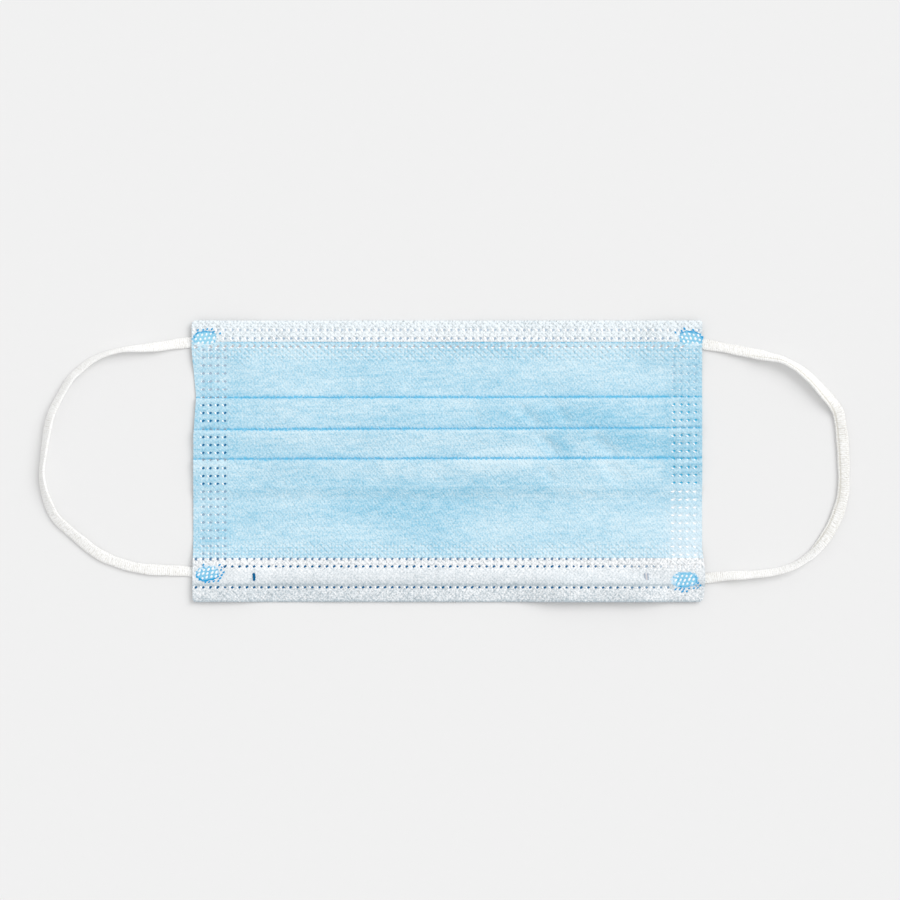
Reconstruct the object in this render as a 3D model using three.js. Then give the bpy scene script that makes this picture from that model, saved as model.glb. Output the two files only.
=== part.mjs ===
// A pleated disposable face mask, lying flat with its outer side up.
//
// Millimetres, +Z up. The origin is on the surface that the mask lies on, under the middle of its
// wall. +X runs along the mask, and +Y runs from the nose hem to the chin hem.
//
// The wall is two plies welded together at the sides. Seen from the side it is one folded line,
// the wall line, from the nose edge through three pleats to the chin edge. Each ply is that line
// moved to its own side, given its thickness, and carried from the left edge to the right edge.

import * as THREE from 'three';

// ---- Driving dimensions

const LENGTH = 176.2;        // left edge to right edge, at the widest
const HEIGHT = 96.5;         // nose fold to chin fold, with the pleats closed
const PLY = 0.45;            // thickness of one ply of nonwoven
const PLY_GAP = 0.1;         // between the two plies
const LAYER_GAP = 0.25;      // between layers of the wall that are folded on each other
const NOSE_HEM = 15.05;      // width of the inner ply folded to the front at the nose edge
const CHIN_HEM = 7.25;       // the same at the chin edge
const POCKET = [-43.2, -36]; // the weld rows on each side of the nose wire
const CHIN_ROWS = [42.1, 45];
const PLEAT_DEPTH = 9;       // from a pleat's visible edge back to its hidden fold
const FIRST_RAMP = 8;        // length over which the wall climbs onto the first hidden fold

// The three pleats: edge is the visible fold, tilt is how much nearer the chin its right end lies
// than its middle, and rise is how far the hidden fold of the next pleat lifts that edge.
const PLEATS = [
  { edge: 0.8, tilt: 0.2, rise: 1.8 },
  { edge: 11.0, tilt: 0.35, rise: 1.8 },
  { edge: 21.8, tilt: 0.15, rise: 0 },
];

// The welded band at each side, where the layers are pressed together.
const SEAM = {
  from: 75.5,                // distance of its inner edge from the middle of the mask
  free: 45,                  // distance inside which the layers lie at their full height
  press: 0.42,               // height of the layers in the band, as a share of that
};

// The flat nose wire in the pocket of the nose hem.
const WIRE = { left: -65.5, right: 67, y: -39.6, width: 3.6, thickness: 0.5, gap: 0.1 };

// Where the side edges of the wall lie, from the nose edge to the chin edge.
const SIDES = [
  { y: -48.3, left: -87.5, right: 86.3 },
  { y: -46.5, left: -87.6, right: 87.6 },
  { y: -41.4, left: -87.6, right: 88.1 },
  { y: -37.8, left: -87.6, right: 88.1 },
  { y: -30, left: -87.4, right: 87.1 },
  { y: 9, left: -87.3, right: 87.1 },
  { y: 22, left: -86.4, right: 87.1 },
  { y: 38, left: -88.1, right: 87.1 },
  { y: 48.3, left: -88.1, right: 87.1 },
];

// Where the wall stands off the surface: over the four loop ends, and along the bowed stretch of
// the nose edge. Each rise is level over the inner part of its reach, LEVEL_SHARE of it, and fades
// out from there.
const RISES = [
  { x: -86, y: 43, height: 0.9, reachX: 26, reachY: 15 },
  { x: 86, y: 43, height: 0.9, reachX: 26, reachY: 15 },
  { x: -86, y: -42, height: 0.9, reachX: 26, reachY: 17 },
  { x: 86, y: -42, height: 0.9, reachX: 26, reachY: 17 },
  { x: 56, y: -49, height: 0.9, reachX: 34, reachY: 13 },
];
const LEVEL_SHARE = 0.4;

// The flat knitted ear loops.
const LOOP = {
  width: 3.4,
  thickness: 1.4,
  sides: 8,
  steps: 44,
  pressed: 0.5,              // thickness of the welded ends, as a share of the free thickness
  pressedTo: 89.6,           // the ends are pressed as far as this from the middle of the mask
  freeFrom: 93,              // and free from here on
};

// The routes of the loops, from the chin end to the nose end. z is the middle of the elastic, which
// is higher where the elastic turns onto its edge.
const LEFT_ROUTE = [
  { x: -80.5, y: 41.6, z: 0.75 }, { x: -84.0, y: 41.3, z: 0.75 }, { x: -88.4, y: 40.8, z: 0.75 },
  { x: -93.4, y: 40.2, z: 0.8 }, { x: -98.6, y: 39.4, z: 0.95 }, { x: -104.2, y: 38.8, z: 1.4 },
  { x: -110.0, y: 38.4, z: 1.75 }, { x: -115.0, y: 37.4, z: 1.8 }, { x: -119.2, y: 36.0, z: 1.7 },
  { x: -122.8, y: 34.1, z: 1.55 }, { x: -126.4, y: 31.2, z: 1.6 }, { x: -129.5, y: 28.1, z: 1.8 },
  { x: -133.4, y: 21.5, z: 2.1 }, { x: -136.2, y: 15.3, z: 2.4 }, { x: -137.7, y: 8.0, z: 2.4 },
  { x: -138.7, y: 0.8, z: 2.2 }, { x: -139.2, y: -4.5, z: 2.0 }, { x: -138.3, y: -10.5, z: 1.7 },
  { x: -136.3, y: -16.2, z: 1.4 }, { x: -134.3, y: -19.7, z: 1.2 }, { x: -131.4, y: -22.5, z: 1.1 },
  { x: -125.8, y: -27.3, z: 1.0 }, { x: -119.8, y: -31.8, z: 0.85 }, { x: -112.2, y: -35.1, z: 0.75 },
  { x: -104.2, y: -36.9, z: 0.75 }, { x: -96.3, y: -37.4, z: 0.75 }, { x: -91.0, y: -37.6, z: 0.75 },
  { x: -87.6, y: -38.0, z: 0.75 }, { x: -84.0, y: -38.4, z: 0.75 }, { x: -80.0, y: -38.7, z: 0.75 },
];
const RIGHT_ROUTE = [
  { x: 79.5, y: 41.5, z: 0.75 }, { x: 83.5, y: 41.0, z: 0.75 }, { x: 88.0, y: 40.1, z: 0.75 },
  { x: 93.2, y: 39.2, z: 0.95 }, { x: 99.2, y: 38.0, z: 0.95 }, { x: 105.2, y: 36.9, z: 1.2 },
  { x: 110.2, y: 35.9, z: 1.8 }, { x: 114.4, y: 34.9, z: 2.2 }, { x: 118.2, y: 33.0, z: 2.3 },
  { x: 121.0, y: 31.2, z: 2.3 }, { x: 124.4, y: 28.3, z: 2.2 }, { x: 127.7, y: 24.8, z: 1.9 },
  { x: 131.1, y: 21.0, z: 1.5 }, { x: 133.0, y: 18.5, z: 1.2 }, { x: 134.2, y: 15.8, z: 1.0 },
  { x: 135.2, y: 9.2, z: 0.9 }, { x: 135.7, y: 2.4, z: 0.9 }, { x: 135.9, y: -5.0, z: 0.9 },
  { x: 135.6, y: -11.5, z: 0.9 }, { x: 134.2, y: -17.0, z: 0.9 }, { x: 132.2, y: -21.8, z: 0.9 },
  { x: 129.5, y: -26.4, z: 1.0 }, { x: 127.0, y: -29.5, z: 1.25 }, { x: 123.7, y: -32.6, z: 1.5 },
  { x: 118.0, y: -36.1, z: 1.65 }, { x: 111.5, y: -38.0, z: 1.55 }, { x: 103.5, y: -38.9, z: 1.45 },
  { x: 96.0, y: -39.3, z: 1.2 }, { x: 91.2, y: -39.8, z: 0.95 }, { x: 87.8, y: -40.3, z: 0.75 },
  { x: 84.0, y: -40.6, z: 0.75 }, { x: 79.5, y: -40.8, z: 0.75 },
];

// ---- Where the sections stand

// Sections along X, at their places between straight edges: close together where the height of
// the layers changes, with one at each end of the wire.
const STATIONS = [
  -88.1, -80, -75.5, -71, WIRE.left, -59, -52, -45, -24, 0,
  24, 45, 52, 59, WIRE.right, 71, 75.5, 80, 88.1,
];

const WALL = 2 * PLY + PLY_GAP;
const LAYER = WALL + LAYER_GAP;            // from one folded layer of the wall to the next
const HEM_TURN = PLY + PLY_GAP;            // radius at which the inner ply turns round a hem edge
const HEM_CENTRE = HEIGHT / 2 - PLY / 2 - HEM_TURN;
const OUTER_PLY_END = HEM_CENTRE - 0.15;   // the outer ply stops just short of that turn
const WIRE_EDGES = [WIRE.y - WIRE.width / 2, WIRE.y + WIRE.width / 2];

// Places of the wall line's points along Y, from the nose edge to the chin edge: in the nose hem,
// in the plain panels on each side of the pleats, and in the chin hem.
const NOSE_HEM_POINTS = [
  -OUTER_PLY_END, POCKET[0], ...WIRE_EDGES, POCKET[1], NOSE_HEM - HEIGHT / 2,
];
const NOSE_PANEL_POINTS = [-28.5, -23];
const CHIN_PANEL_POINTS = [28, 33, 37];
const CHIN_HEM_POINTS = [HEIGHT / 2 - CHIN_HEM, ...CHIN_ROWS, OUTER_PLY_END];

// ---- Curves and the shape of the whole wall

const { clamp, lerp, smoothstep } = THREE.MathUtils;

// A point of a section: its first coordinate lies along Y and its second along Z.
const point = (y, z) => new THREE.Vector2(y, z);

// A value of a table with a y column, straight between its rows.
function between(rows, y, column) {
  const last = rows.length - 2;
  const i = clamp(rows.findIndex((row) => row.y > y) - 1, 0, last);
  const share = clamp((y - rows[i].y) / (rows[i + 1].y - rows[i].y), 0, 1);
  return lerp(rows[i][column], rows[i + 1][column], share);
}

// How much of their full height the folded layers have at a place along X.
function pressAt(x) {
  return lerp(1, SEAM.press, smoothstep(Math.abs(x), SEAM.free, SEAM.from));
}

// How far the wall stands off the surface.
function riseAt(x, y) {
  const fade = (share) => 1 - smoothstep(Math.abs(share), LEVEL_SHARE, 1);
  return RISES.reduce((highest, row) => {
    const rise = row.height * fade((x - row.x) / row.reachX) * fade((y - row.y) / row.reachY);
    return Math.max(highest, rise);
  }, 0);
}

// A point of the section at a station, put in its place on the mask. proud is height that is
// never pressed.
function place(station, y, z, proud = 0) {
  const share = station / LENGTH + 0.5;
  const x = lerp(between(SIDES, y, 'left'), between(SIDES, y, 'right'), share);
  return new THREE.Vector3(x, y, z * pressAt(station) + proud + riseAt(station, y));
}

// A half turn about a centre, as four corners whose sides touch the circle, from its upper end to
// its lower one. side is 1 where it bulges towards the chin and -1 towards the nose, and slope is
// the angle by which the layers that it joins climb towards the chin.
function halfTurn(y, z, radius, side, slope = 0) {
  const step = Math.PI / 4;
  return [0.5, 1.5, 2.5, 3.5].map((count) => {
    const angle = Math.PI / 2 - count * step + slope;
    const reach = radius / Math.cos(step / 2);
    return point(y + side * reach * Math.cos(angle), z + reach * Math.sin(angle));
  });
}

// The middle line of the wall between the two hem edges, at a place along X. Past the plain nose
// panel each pleat runs over its own hidden fold to its edge, back under itself, and forward
// again along the surface to the next.
function wallLine(x) {
  const ground = WALL / 2;
  const line = [...NOSE_HEM_POINTS, ...NOSE_PANEL_POINTS].map((y) => point(y, ground));
  PLEATS.forEach((pleat, index) => {
    const edge = pleat.edge + pleat.tilt * x / (LENGTH / 2);
    const middle = edge - PLEAT_DEPTH / 2;
    const front = edge - WALL / 2 - LAYER / 2;
    const back = edge - PLEAT_DEPTH + WALL / 2 + LAYER / 2;
    const slope = Math.atan(pleat.rise / (edge - middle));
    const rise = (y) => ground + Math.tan(slope) * Math.max(0, y - middle);
    if (index === 0) line.push(point(back - FIRST_RAMP, ground));
    line.push(point(index === 0 ? back - 1 : back + 0.2, ground + 2 * LAYER));
    line.push(point(middle, ground + 2 * LAYER));
    line.push(...halfTurn(front, rise(front) + 1.5 * LAYER, LAYER / 2 * Math.cos(slope), 1, slope));
    line.push(point(middle, ground + LAYER));
    line.push(...halfTurn(back, ground + LAYER / 2, LAYER / 2, -1));
    line.push(point(middle, ground));
    line.push(point(edge, rise(edge)));
  });
  line.push(...[...CHIN_PANEL_POINTS, ...CHIN_HEM_POINTS].map((y) => point(y, ground)));
  return line;
}

// An open line moved sideways, to the left of its direction, with its corners mitred.
function offsetLine(line, distance) {
  const normal = (from, to) => {
    const along = to.clone().sub(from).normalize();
    return point(-along.y, along.x);
  };
  return line.map((here, i) => {
    const before = i > 0 ? normal(line[i - 1], here) : normal(here, line[i + 1]);
    const after = i < line.length - 1 ? normal(here, line[i + 1]) : before;
    const mitre = before.clone().add(after).normalize();
    return mitre.multiplyScalar(distance / mitre.dot(before)).add(here);
  });
}

// One closed solid from a strip carried along X. left and right are the strip's two long surfaces,
// each a list of sections from the left edge of the mask to its right edge. forward says which
// spans of a section run towards +Y, so that surfaces that face each other are cut into triangles
// alike.
function stripGeometry([left, right], forward) {
  const count = left[0].length;
  const positions = [...left.flat(), ...right.flat()].flatMap((corner) => corner.toArray());
  const at = (side, section, i) => (side * left.length + section) * count + i;
  const faces = [];
  const quad = (a, b, c, d) => faces.push(a, b, c, a, c, d);
  for (let s = 0; s < left.length - 1; s += 1) {
    for (let i = 0; i < count - 1; i += 1) {
      const [l, r] = [0, 1].map((side) => [
        at(side, s, i), at(side, s + 1, i), at(side, s + 1, i + 1), at(side, s, i + 1)]);
      if (forward[i]) {
        quad(l[0], l[1], l[2], l[3]);
        quad(r[2], r[1], r[0], r[3]);
      } else {
        quad(l[1], l[2], l[3], l[0]);
        quad(r[3], r[2], r[1], r[0]);
      }
    }
    quad(at(0, s, 0), at(1, s, 0), at(1, s + 1, 0), at(0, s + 1, 0));
    quad(at(0, s, count - 1), at(0, s + 1, count - 1),
      at(1, s + 1, count - 1), at(1, s, count - 1));
  }
  const end = left.length - 1;
  for (let i = 0; i < count - 1; i += 1) {
    quad(at(0, 0, i), at(0, 0, i + 1), at(1, 0, i + 1), at(1, 0, i));
    quad(at(0, end, i), at(1, end, i), at(1, end, i + 1), at(0, end, i + 1));
  }
  const geometry = new THREE.BufferGeometry();
  geometry.setAttribute('position', new THREE.Float32BufferAttribute(positions, 3));
  geometry.setIndex(faces);
  return geometry.toNonIndexed();
}

// A ply from its middle line: lineAt gives the line at a station, and proudAt the height that
// each of its points stands proud there.
function plyGeometry(lineAt, proudAt = () => 0) {
  const section = (side) => STATIONS.map((x) => offsetLine(lineAt(x), side * PLY / 2).map(
    (corner, i) => place(x, corner.x, corner.y, proudAt(x, i))));
  const first = lineAt(STATIONS[0]);
  const forward = first.slice(1).map((corner, i) => corner.x >= first[i].x);
  return stripGeometry([section(1), section(-1)], forward);
}

function part(name, geometry, material) {
  geometry.computeVertexNormals();
  const mesh = new THREE.Mesh(geometry, material);
  mesh.name = name;
  return mesh;
}

// ---- The outer ply

function outerPly() {
  const material = new THREE.MeshStandardMaterial({ color: 0xa9d6ee, roughness: 0.9 });
  const lineAt = (x) => offsetLine(wallLine(x), (PLY + PLY_GAP) / 2);
  return part('outer_ply', plyGeometry(lineAt), material);
}

// ---- The inner ply, folded to the front over both long edges

function innerPly() {
  const material = new THREE.MeshStandardMaterial({ color: 0xeef3f7, roughness: 0.9 });
  const frontZ = WALL + PLY_GAP + PLY / 2;
  const centreZ = PLY / 2 + HEM_TURN;
  const noseFront = NOSE_HEM_POINTS.toReversed();
  const chinFront = CHIN_HEM_POINTS.toReversed();
  const lineAt = (x) => [
    ...noseFront.map((y) => point(y, frontZ)),
    ...halfTurn(-HEM_CENTRE, centreZ, HEM_TURN, -1),
    ...offsetLine(wallLine(x), -(PLY + PLY_GAP) / 2),
    ...halfTurn(HEM_CENTRE, centreZ, HEM_TURN, 1).reverse(),
    ...chinFront.map((y) => point(y, frontZ)),
  ];
  const overWire = (x) => x >= WIRE.left && x <= WIRE.right;
  const proudAt = (x, i) => (
    overWire(x) && WIRE_EDGES.includes(noseFront[i]) ? WIRE.thickness + WIRE.gap : 0);
  return part('inner_ply', plyGeometry(lineAt, proudAt), material);
}

// ---- The nose wire, between the outer ply and the hem folded over it

function noseWire() {
  const material = new THREE.MeshStandardMaterial({ color: 0xf4f4f2, roughness: 0.5 });
  const bed = WALL + WIRE.gap;
  const stations = STATIONS.filter((x) => x >= WIRE.left && x <= WIRE.right);
  const surface = (proud) => stations.map((x) => WIRE_EDGES.map((y) => place(x, y, bed, proud)));
  return part('nose_wire', stripGeometry([surface(WIRE.thickness), surface(0)], [true]), material);
}

// ---- The ear loops: a flat oval carried along its route, pressed thin under the mask's corners

function earLoop(name, route) {
  const material = new THREE.MeshStandardMaterial({ color: 0xfafaf6, roughness: 0.85 });
  const corners = Array.from({ length: LOOP.sides }, (_, i) => {
    const angle = (i + 0.5) * 2 * Math.PI / LOOP.sides;
    const out = 1 / Math.cos(Math.PI / LOOP.sides);
    return point(LOOP.thickness / 2 * Math.cos(angle), LOOP.width / 2 * Math.sin(angle))
      .multiplyScalar(out);
  });
  const curve = new THREE.CatmullRomCurve3(route.map(({ x, y, z }) => new THREE.Vector3(x, y, z)));
  const geometry = new THREE.ExtrudeGeometry(new THREE.Shape(corners), {
    steps: LOOP.steps,
    extrudePath: curve,
    bevelEnabled: false,
  });
  const position = geometry.getAttribute('position');
  for (let i = 0; i < position.count; i += 1) {
    const free = smoothstep(Math.abs(position.getX(i)), LOOP.pressedTo, LOOP.freeFrom);
    position.setZ(i, position.getZ(i) * lerp(LOOP.pressed, 1, free));
  }
  return part(name, geometry, material);
}

// ---- The mask

const mask = new THREE.Group();
mask.add(
  outerPly(),
  innerPly(),
  noseWire(),
  earLoop('ear_loop_left', LEFT_ROUTE),
  earLoop('ear_loop_right', RIGHT_ROUTE),
);

export default mask;
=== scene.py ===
"""A pleated disposable face mask lying flat with its outer side up, built around its CAD frame.

Metres, +Z up, with the origin on the surface under the middle of the mask's wall. +X runs along the
mask and +Y from the nose hem to the chin hem. The two plies are grids: their rows follow one folded
line, from the nose edge through three pleats to the chin edge, and their columns follow the welds
along the mask. Every weld dot has a row and a column of its own, so its crater is real shape.
"""

import math
from types import SimpleNamespace
from typing import NamedTuple

import bpy
import numpy as np
from bpy.props import FloatProperty, FloatVectorProperty, IntProperty, PointerProperty
from bpy.types import Operator, Panel, PropertyGroup
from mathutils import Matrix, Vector


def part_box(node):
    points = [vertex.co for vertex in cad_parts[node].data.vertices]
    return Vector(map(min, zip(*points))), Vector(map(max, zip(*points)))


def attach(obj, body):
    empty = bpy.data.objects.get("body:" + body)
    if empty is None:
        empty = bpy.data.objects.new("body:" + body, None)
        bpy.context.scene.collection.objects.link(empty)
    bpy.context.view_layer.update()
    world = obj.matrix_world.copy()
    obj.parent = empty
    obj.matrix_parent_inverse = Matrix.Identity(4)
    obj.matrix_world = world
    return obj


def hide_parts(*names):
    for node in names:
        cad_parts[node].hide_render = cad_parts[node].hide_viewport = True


bl_info = {
    "name": "Disposable Face Mask",
    "version": (1, 0, 0),
    "blender": (4, 5, 0),
    "location": "View3D > Sidebar > Face Mask",
    "description": "Builds a pleated disposable face mask, lying flat, piece by piece",
    "category": "Object",
}

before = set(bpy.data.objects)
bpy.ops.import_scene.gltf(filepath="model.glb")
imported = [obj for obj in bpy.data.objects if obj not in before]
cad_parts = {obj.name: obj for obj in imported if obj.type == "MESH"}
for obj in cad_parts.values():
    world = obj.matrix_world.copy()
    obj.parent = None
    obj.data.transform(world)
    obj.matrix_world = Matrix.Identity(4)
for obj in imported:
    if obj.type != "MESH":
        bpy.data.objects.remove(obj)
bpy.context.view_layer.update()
BODY = "root"

# ---- What the frame says

HALF_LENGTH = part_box("inner_ply")[1].x
HALF_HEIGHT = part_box("inner_ply")[1].y
WIRE_LOW, WIRE_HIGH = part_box("nose_wire")

# ---- The mask's own tables, in metres

# The pleats: where the visible fold lies along Y, how much nearer the chin its right end is than its
# middle, and how far the hidden fold of the next pleat lifts it.
PLEATS = (
    {"edge": 0.0008, "tilt": 0.0002, "lift": 0.0009},
    {"edge": 0.0110, "tilt": 0.00035, "lift": 0.0009},
    {"edge": 0.0218, "tilt": 0.00015, "lift": 0.0},
)

# The side edges of the wall: Y, left edge, right edge.
SIDES = np.array((
    (-0.0483, -0.0869, 0.0861), (-0.0476, -0.0875, 0.0872), (-0.0465, -0.0876, 0.0876),
    (-0.0414, -0.0876, 0.0881), (-0.0378, -0.0876, 0.0881), (-0.0300, -0.0874, 0.0871),
    (0.0090, -0.0873, 0.0871), (0.0220, -0.0864, 0.0871), (0.0380, -0.0879, 0.0871),
    (0.0468, -0.0879, 0.0871), (0.0476, -0.0876, 0.0871), (0.0483, -0.0868, 0.0867),
))

# Where the wall stands off the surface: X and Y of the middle, height, reach along X and along Y.
# The first four are over the ends of the loops, and the last is the bowed stretch of the nose edge.
RISES = (
    (-0.086, 0.043, 0.0009, 0.026, 0.015),
    (0.086, 0.043, 0.0009, 0.026, 0.015),
    (-0.086, -0.042, 0.0009, 0.026, 0.017),
    (0.086, -0.042, 0.0009, 0.026, 0.017),
    (0.053, -0.049, 0.0026, 0.030, 0.012),
)
RISE_LEVEL_SHARE = 0.4

# Soft waves of the lying cloth: length of the wave, its direction in degrees from +X, where it
# starts, and its height.
WAVES = (
    (0.047, 62, 0.9, 0.00020),
    (0.029, -58, 2.2, 0.00012),
    (0.036, 12, 4.1, 0.00012),
    (0.016, 41, 0.4, 0.00006),
    (0.011, -37, 5.0, 0.00004),
)

# The cloth is loose right of the middle. It stands a little higher there, and grooves run down it
# towards the right: X and Y of the middle, direction in degrees, half length, half width, depth.
LOOSE = {"x": 0.036, "y": 0.005, "reach_x": 0.047, "reach_y": 0.024, "height": 0.00042}
GROOVES = (
    (0.0000, 0.0165, -62, 0.0050, 0.0011, 0.00045),
    (0.0080, 0.0172, -54, 0.0055, 0.0013, 0.00067),
    (0.0270, 0.0160, -42, 0.0060, 0.0013, 0.00090),
    (0.0380, 0.0170, -52, 0.0060, 0.0015, 0.00090),
    (0.0340, 0.0058, -44, 0.0060, 0.0014, 0.00081),
    (0.0530, 0.0055, -40, 0.0068, 0.0015, 0.00094),
    (0.0345, -0.0046, -60, 0.0036, 0.0012, 0.00090),
    (0.0570, -0.0042, -46, 0.0060, 0.0018, 0.00098),
    (0.0700, -0.0010, -36, 0.0050, 0.0013, 0.00067),
)

# The webs aren't even: soft oval patches where the fibres lie closer (+) or looser (-), each with
# the X and Y of its middle, direction in degrees, half length, half width, and how much. Some also
# stand in for soft light on waves of the cloth that are too low to model.
BLUE_PATCHES = (
    (0.044, 0.0155, -4, 0.022, 0.0060, 0.27),
    (0.015, 0.0185, -30, 0.007, 0.0030, 0.20),
    (0.078, 0.0165, 90, 0.006, 0.0030, -0.25),
    (0.067, 0.0060, -12, 0.011, 0.0042, 0.30),
    (0.039, 0.0055, -58, 0.007, 0.0030, 0.32),
    (0.018, 0.0028, 4, 0.013, 0.0034, -0.46),
    (-0.022, 0.0122, 0, 0.026, 0.0018, -0.18),
    (-0.058, 0.0035, 0, 0.007, 0.0030, 0.15),
    (-0.013, -0.0035, -15, 0.015, 0.0040, -0.27),
    (0.064, -0.0035, -8, 0.014, 0.0042, -0.28),
    (0.054, -0.0010, -60, 0.003, 0.0020, -0.15),
    (-0.040, -0.0075, -10, 0.011, 0.0035, 0.19),
    (0.003, -0.0140, 0, 0.014, 0.0048, 0.29),
    (0.032, -0.0100, -10, 0.009, 0.0025, 0.18),
    (0.004, 0.0272, 0, 0.017, 0.0038, 0.26),
    (0.046, 0.0322, 0, 0.019, 0.0030, -0.22),
    (-0.018, 0.0325, 0, 0.009, 0.0030, -0.18),
    (-0.050, 0.0305, 0, 0.009, 0.0035, 0.15),
    (0.085, 0.0310, 90, 0.005, 0.0030, 0.30),
    (-0.058, 0.0245, 0, 0.016, 0.0020, -0.13),
    (0.054, -0.0298, 0, 0.023, 0.0042, -0.27),
    (-0.050, -0.0262, 0, 0.011, 0.0020, 0.14),
    (0.006, -0.0300, 0, 0.014, 0.0030, 0.14),
    (0.071, -0.0085, 90, 0.002, 0.0060, 0.16),
)
WHITE_PATCHES = (
    (0.000, 0.0388, 0, 0.040, 0.0045, -0.20),
    (0.078, -0.0460, 0, 0.012, 0.0020, -0.22),
    (0.085, 0.0400, 90, 0.005, 0.0030, 0.20),
    (0.000, -0.0430, 0, 0.090, 0.0012, -0.16),
)

# Weld rows along the hems: Y, and how deep the blue shows through their films (0 is slate, 1 and
# more is blue, and -1 is the warm shade where no blue shows). Three are in the nose hem, one welds
# the blue ply along the border of the chin hem, and two are in the chin hem.
HEM_Y, HEM_TONES = np.array((
    (-0.0432, 1.30), (-0.03605, 1.10), (-0.0334, 0.80),
    (0.0393, -1.00),
    (0.0421, 0.62), (0.0450, 0.50),
)).T
NOSE_HEM, BORDER, CHIN_HEM = slice(0, 3), slice(3, 4), slice(4, 6)
# The row next to the nose edge is only a row of dents.
DENT_ROW = -0.0472
# Where the first and last of the dots in a row lie: Y, first X, last X.
DOT_SPANS = np.array((
    (-0.0334, -0.0864, 0.0854), (-0.0300, -0.0864, 0.0849), (0.0380, -0.0864, 0.0849),
    (0.0400, -0.0863, 0.0857), (0.0421, -0.0863, 0.0860),
))
DOTS = 70
# Some of the columns of dots go on down the sides, in 27 rows that are 2.69 mm apart.
LEFT_COLUMNS, RIGHT_COLUMNS = (1, 2, 3, 4), (66, 67, 68, 69)
SIDE_ROWS = 0.0382 - 0.00269 * np.arange(27)


# Where no dots were pressed, near the loop welds at the nose: from X to X, and from Y to Y.
NO_DOTS = ((-0.090, -0.080, -0.0368, -0.0352), (0.078, 0.090, -0.0490, -0.0420))


class LoopWeld(NamedTuple):
    """A knurled weld over the end of a loop. Its angles are in degrees, from its own long axis."""

    x: float
    y: float
    half_length: float
    half_height: float
    turn: float
    shift: float  # of each row of points from the last
    lean: float  # the way the points lean
    dark_side: float
    dark: float  # how dark the rim is on that side, from 0 to 1
    hem: str
    blue: float  # how deep the film's blue is, from 0 to 1
    dash_side: float


LOOP_WELDS = (
    LoopWeld(-0.0834, 0.0421, 0.0042, 0.0026, 5, 0.0008, 55, 100, 1.0, "chin", 0.06, 80),
    LoopWeld(0.0832, 0.0421, 0.0042, 0.0026, -7, -0.0008, 125, 80, 1.0, "chin", 0.22, 95),
    LoopWeld(-0.0824, -0.0384, 0.0041, 0.0027, 9, 0.0010, 48, -100, 1.0, "nose", 0.36, -52),
    LoopWeld(0.0811, -0.0406, 0.0047, 0.0027, 3, 0.0009, 48, -60, 0.5, "nose", 0.30, -82),
)
# The ply has no weld dots near a loop's weld: not within its oval grown by this.
PAD_CLEAR = 1.25

# The marks beside the ends of the wire: the columns of dots that they lie in, and their Y.
MARK_COLUMNS = (8, 62)
MARK_ROW = -0.0397

# The routes of the loops from the chin end to the nose end: X, Y, Z of the middle of the elastic,
# how far it is turned about its own line, in degrees, and how far its inner edge is rolled over.
LEFT_ROUTE = (
    (-0.0805, 0.0416, 0.00075, 0, 0), (-0.0840, 0.0413, 0.00075, 0, 0), (-0.0884, 0.0408, 0.00075, 4, 0),
    (-0.0934, 0.0402, 0.00080, 10, 0), (-0.0986, 0.0394, 0.00095, 22, 0), (-0.1042, 0.0388, 0.00140, 46, 0),
    (-0.1100, 0.0384, 0.00175, 68, 0), (-0.1150, 0.0374, 0.00180, 74, 0), (-0.1192, 0.0360, 0.00170, 66, 0),
    (-0.1228, 0.0341, 0.00155, 56, 0), (-0.1264, 0.0312, 0.00160, 52, 0), (-0.1295, 0.0281, 0.00180, 52, 0),
    (-0.1334, 0.0215, 0.00210, 48, 0), (-0.1362, 0.0153, 0.00240, 44, 0), (-0.1377, 0.0080, 0.00240, 52, 0),
    (-0.1387, 0.0008, 0.00220, 62, 0), (-0.1392, -0.0045, 0.00200, 62, 0),
    (-0.1383, -0.0105, 0.00170, 50, 0), (-0.1363, -0.0162, 0.00140, 38, 0),
    (-0.1343, -0.0197, 0.00120, 30, 0), (-0.1314, -0.0225, 0.00110, 24, 0),
    (-0.1258, -0.0273, 0.00100, 18, 0), (-0.1198, -0.0318, 0.00085, 10, 0),
    (-0.1122, -0.0351, 0.00075, 4, 0), (-0.1042, -0.0369, 0.00075, 0, 0),
    (-0.0963, -0.0374, 0.00075, 0, 0), (-0.0910, -0.0376, 0.00075, 0, 0),
    (-0.0876, -0.0380, 0.00075, 0, 0), (-0.0840, -0.0384, 0.00075, 0, 0), (-0.0800, -0.0387, 0.00075, 0, 0),
)
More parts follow.
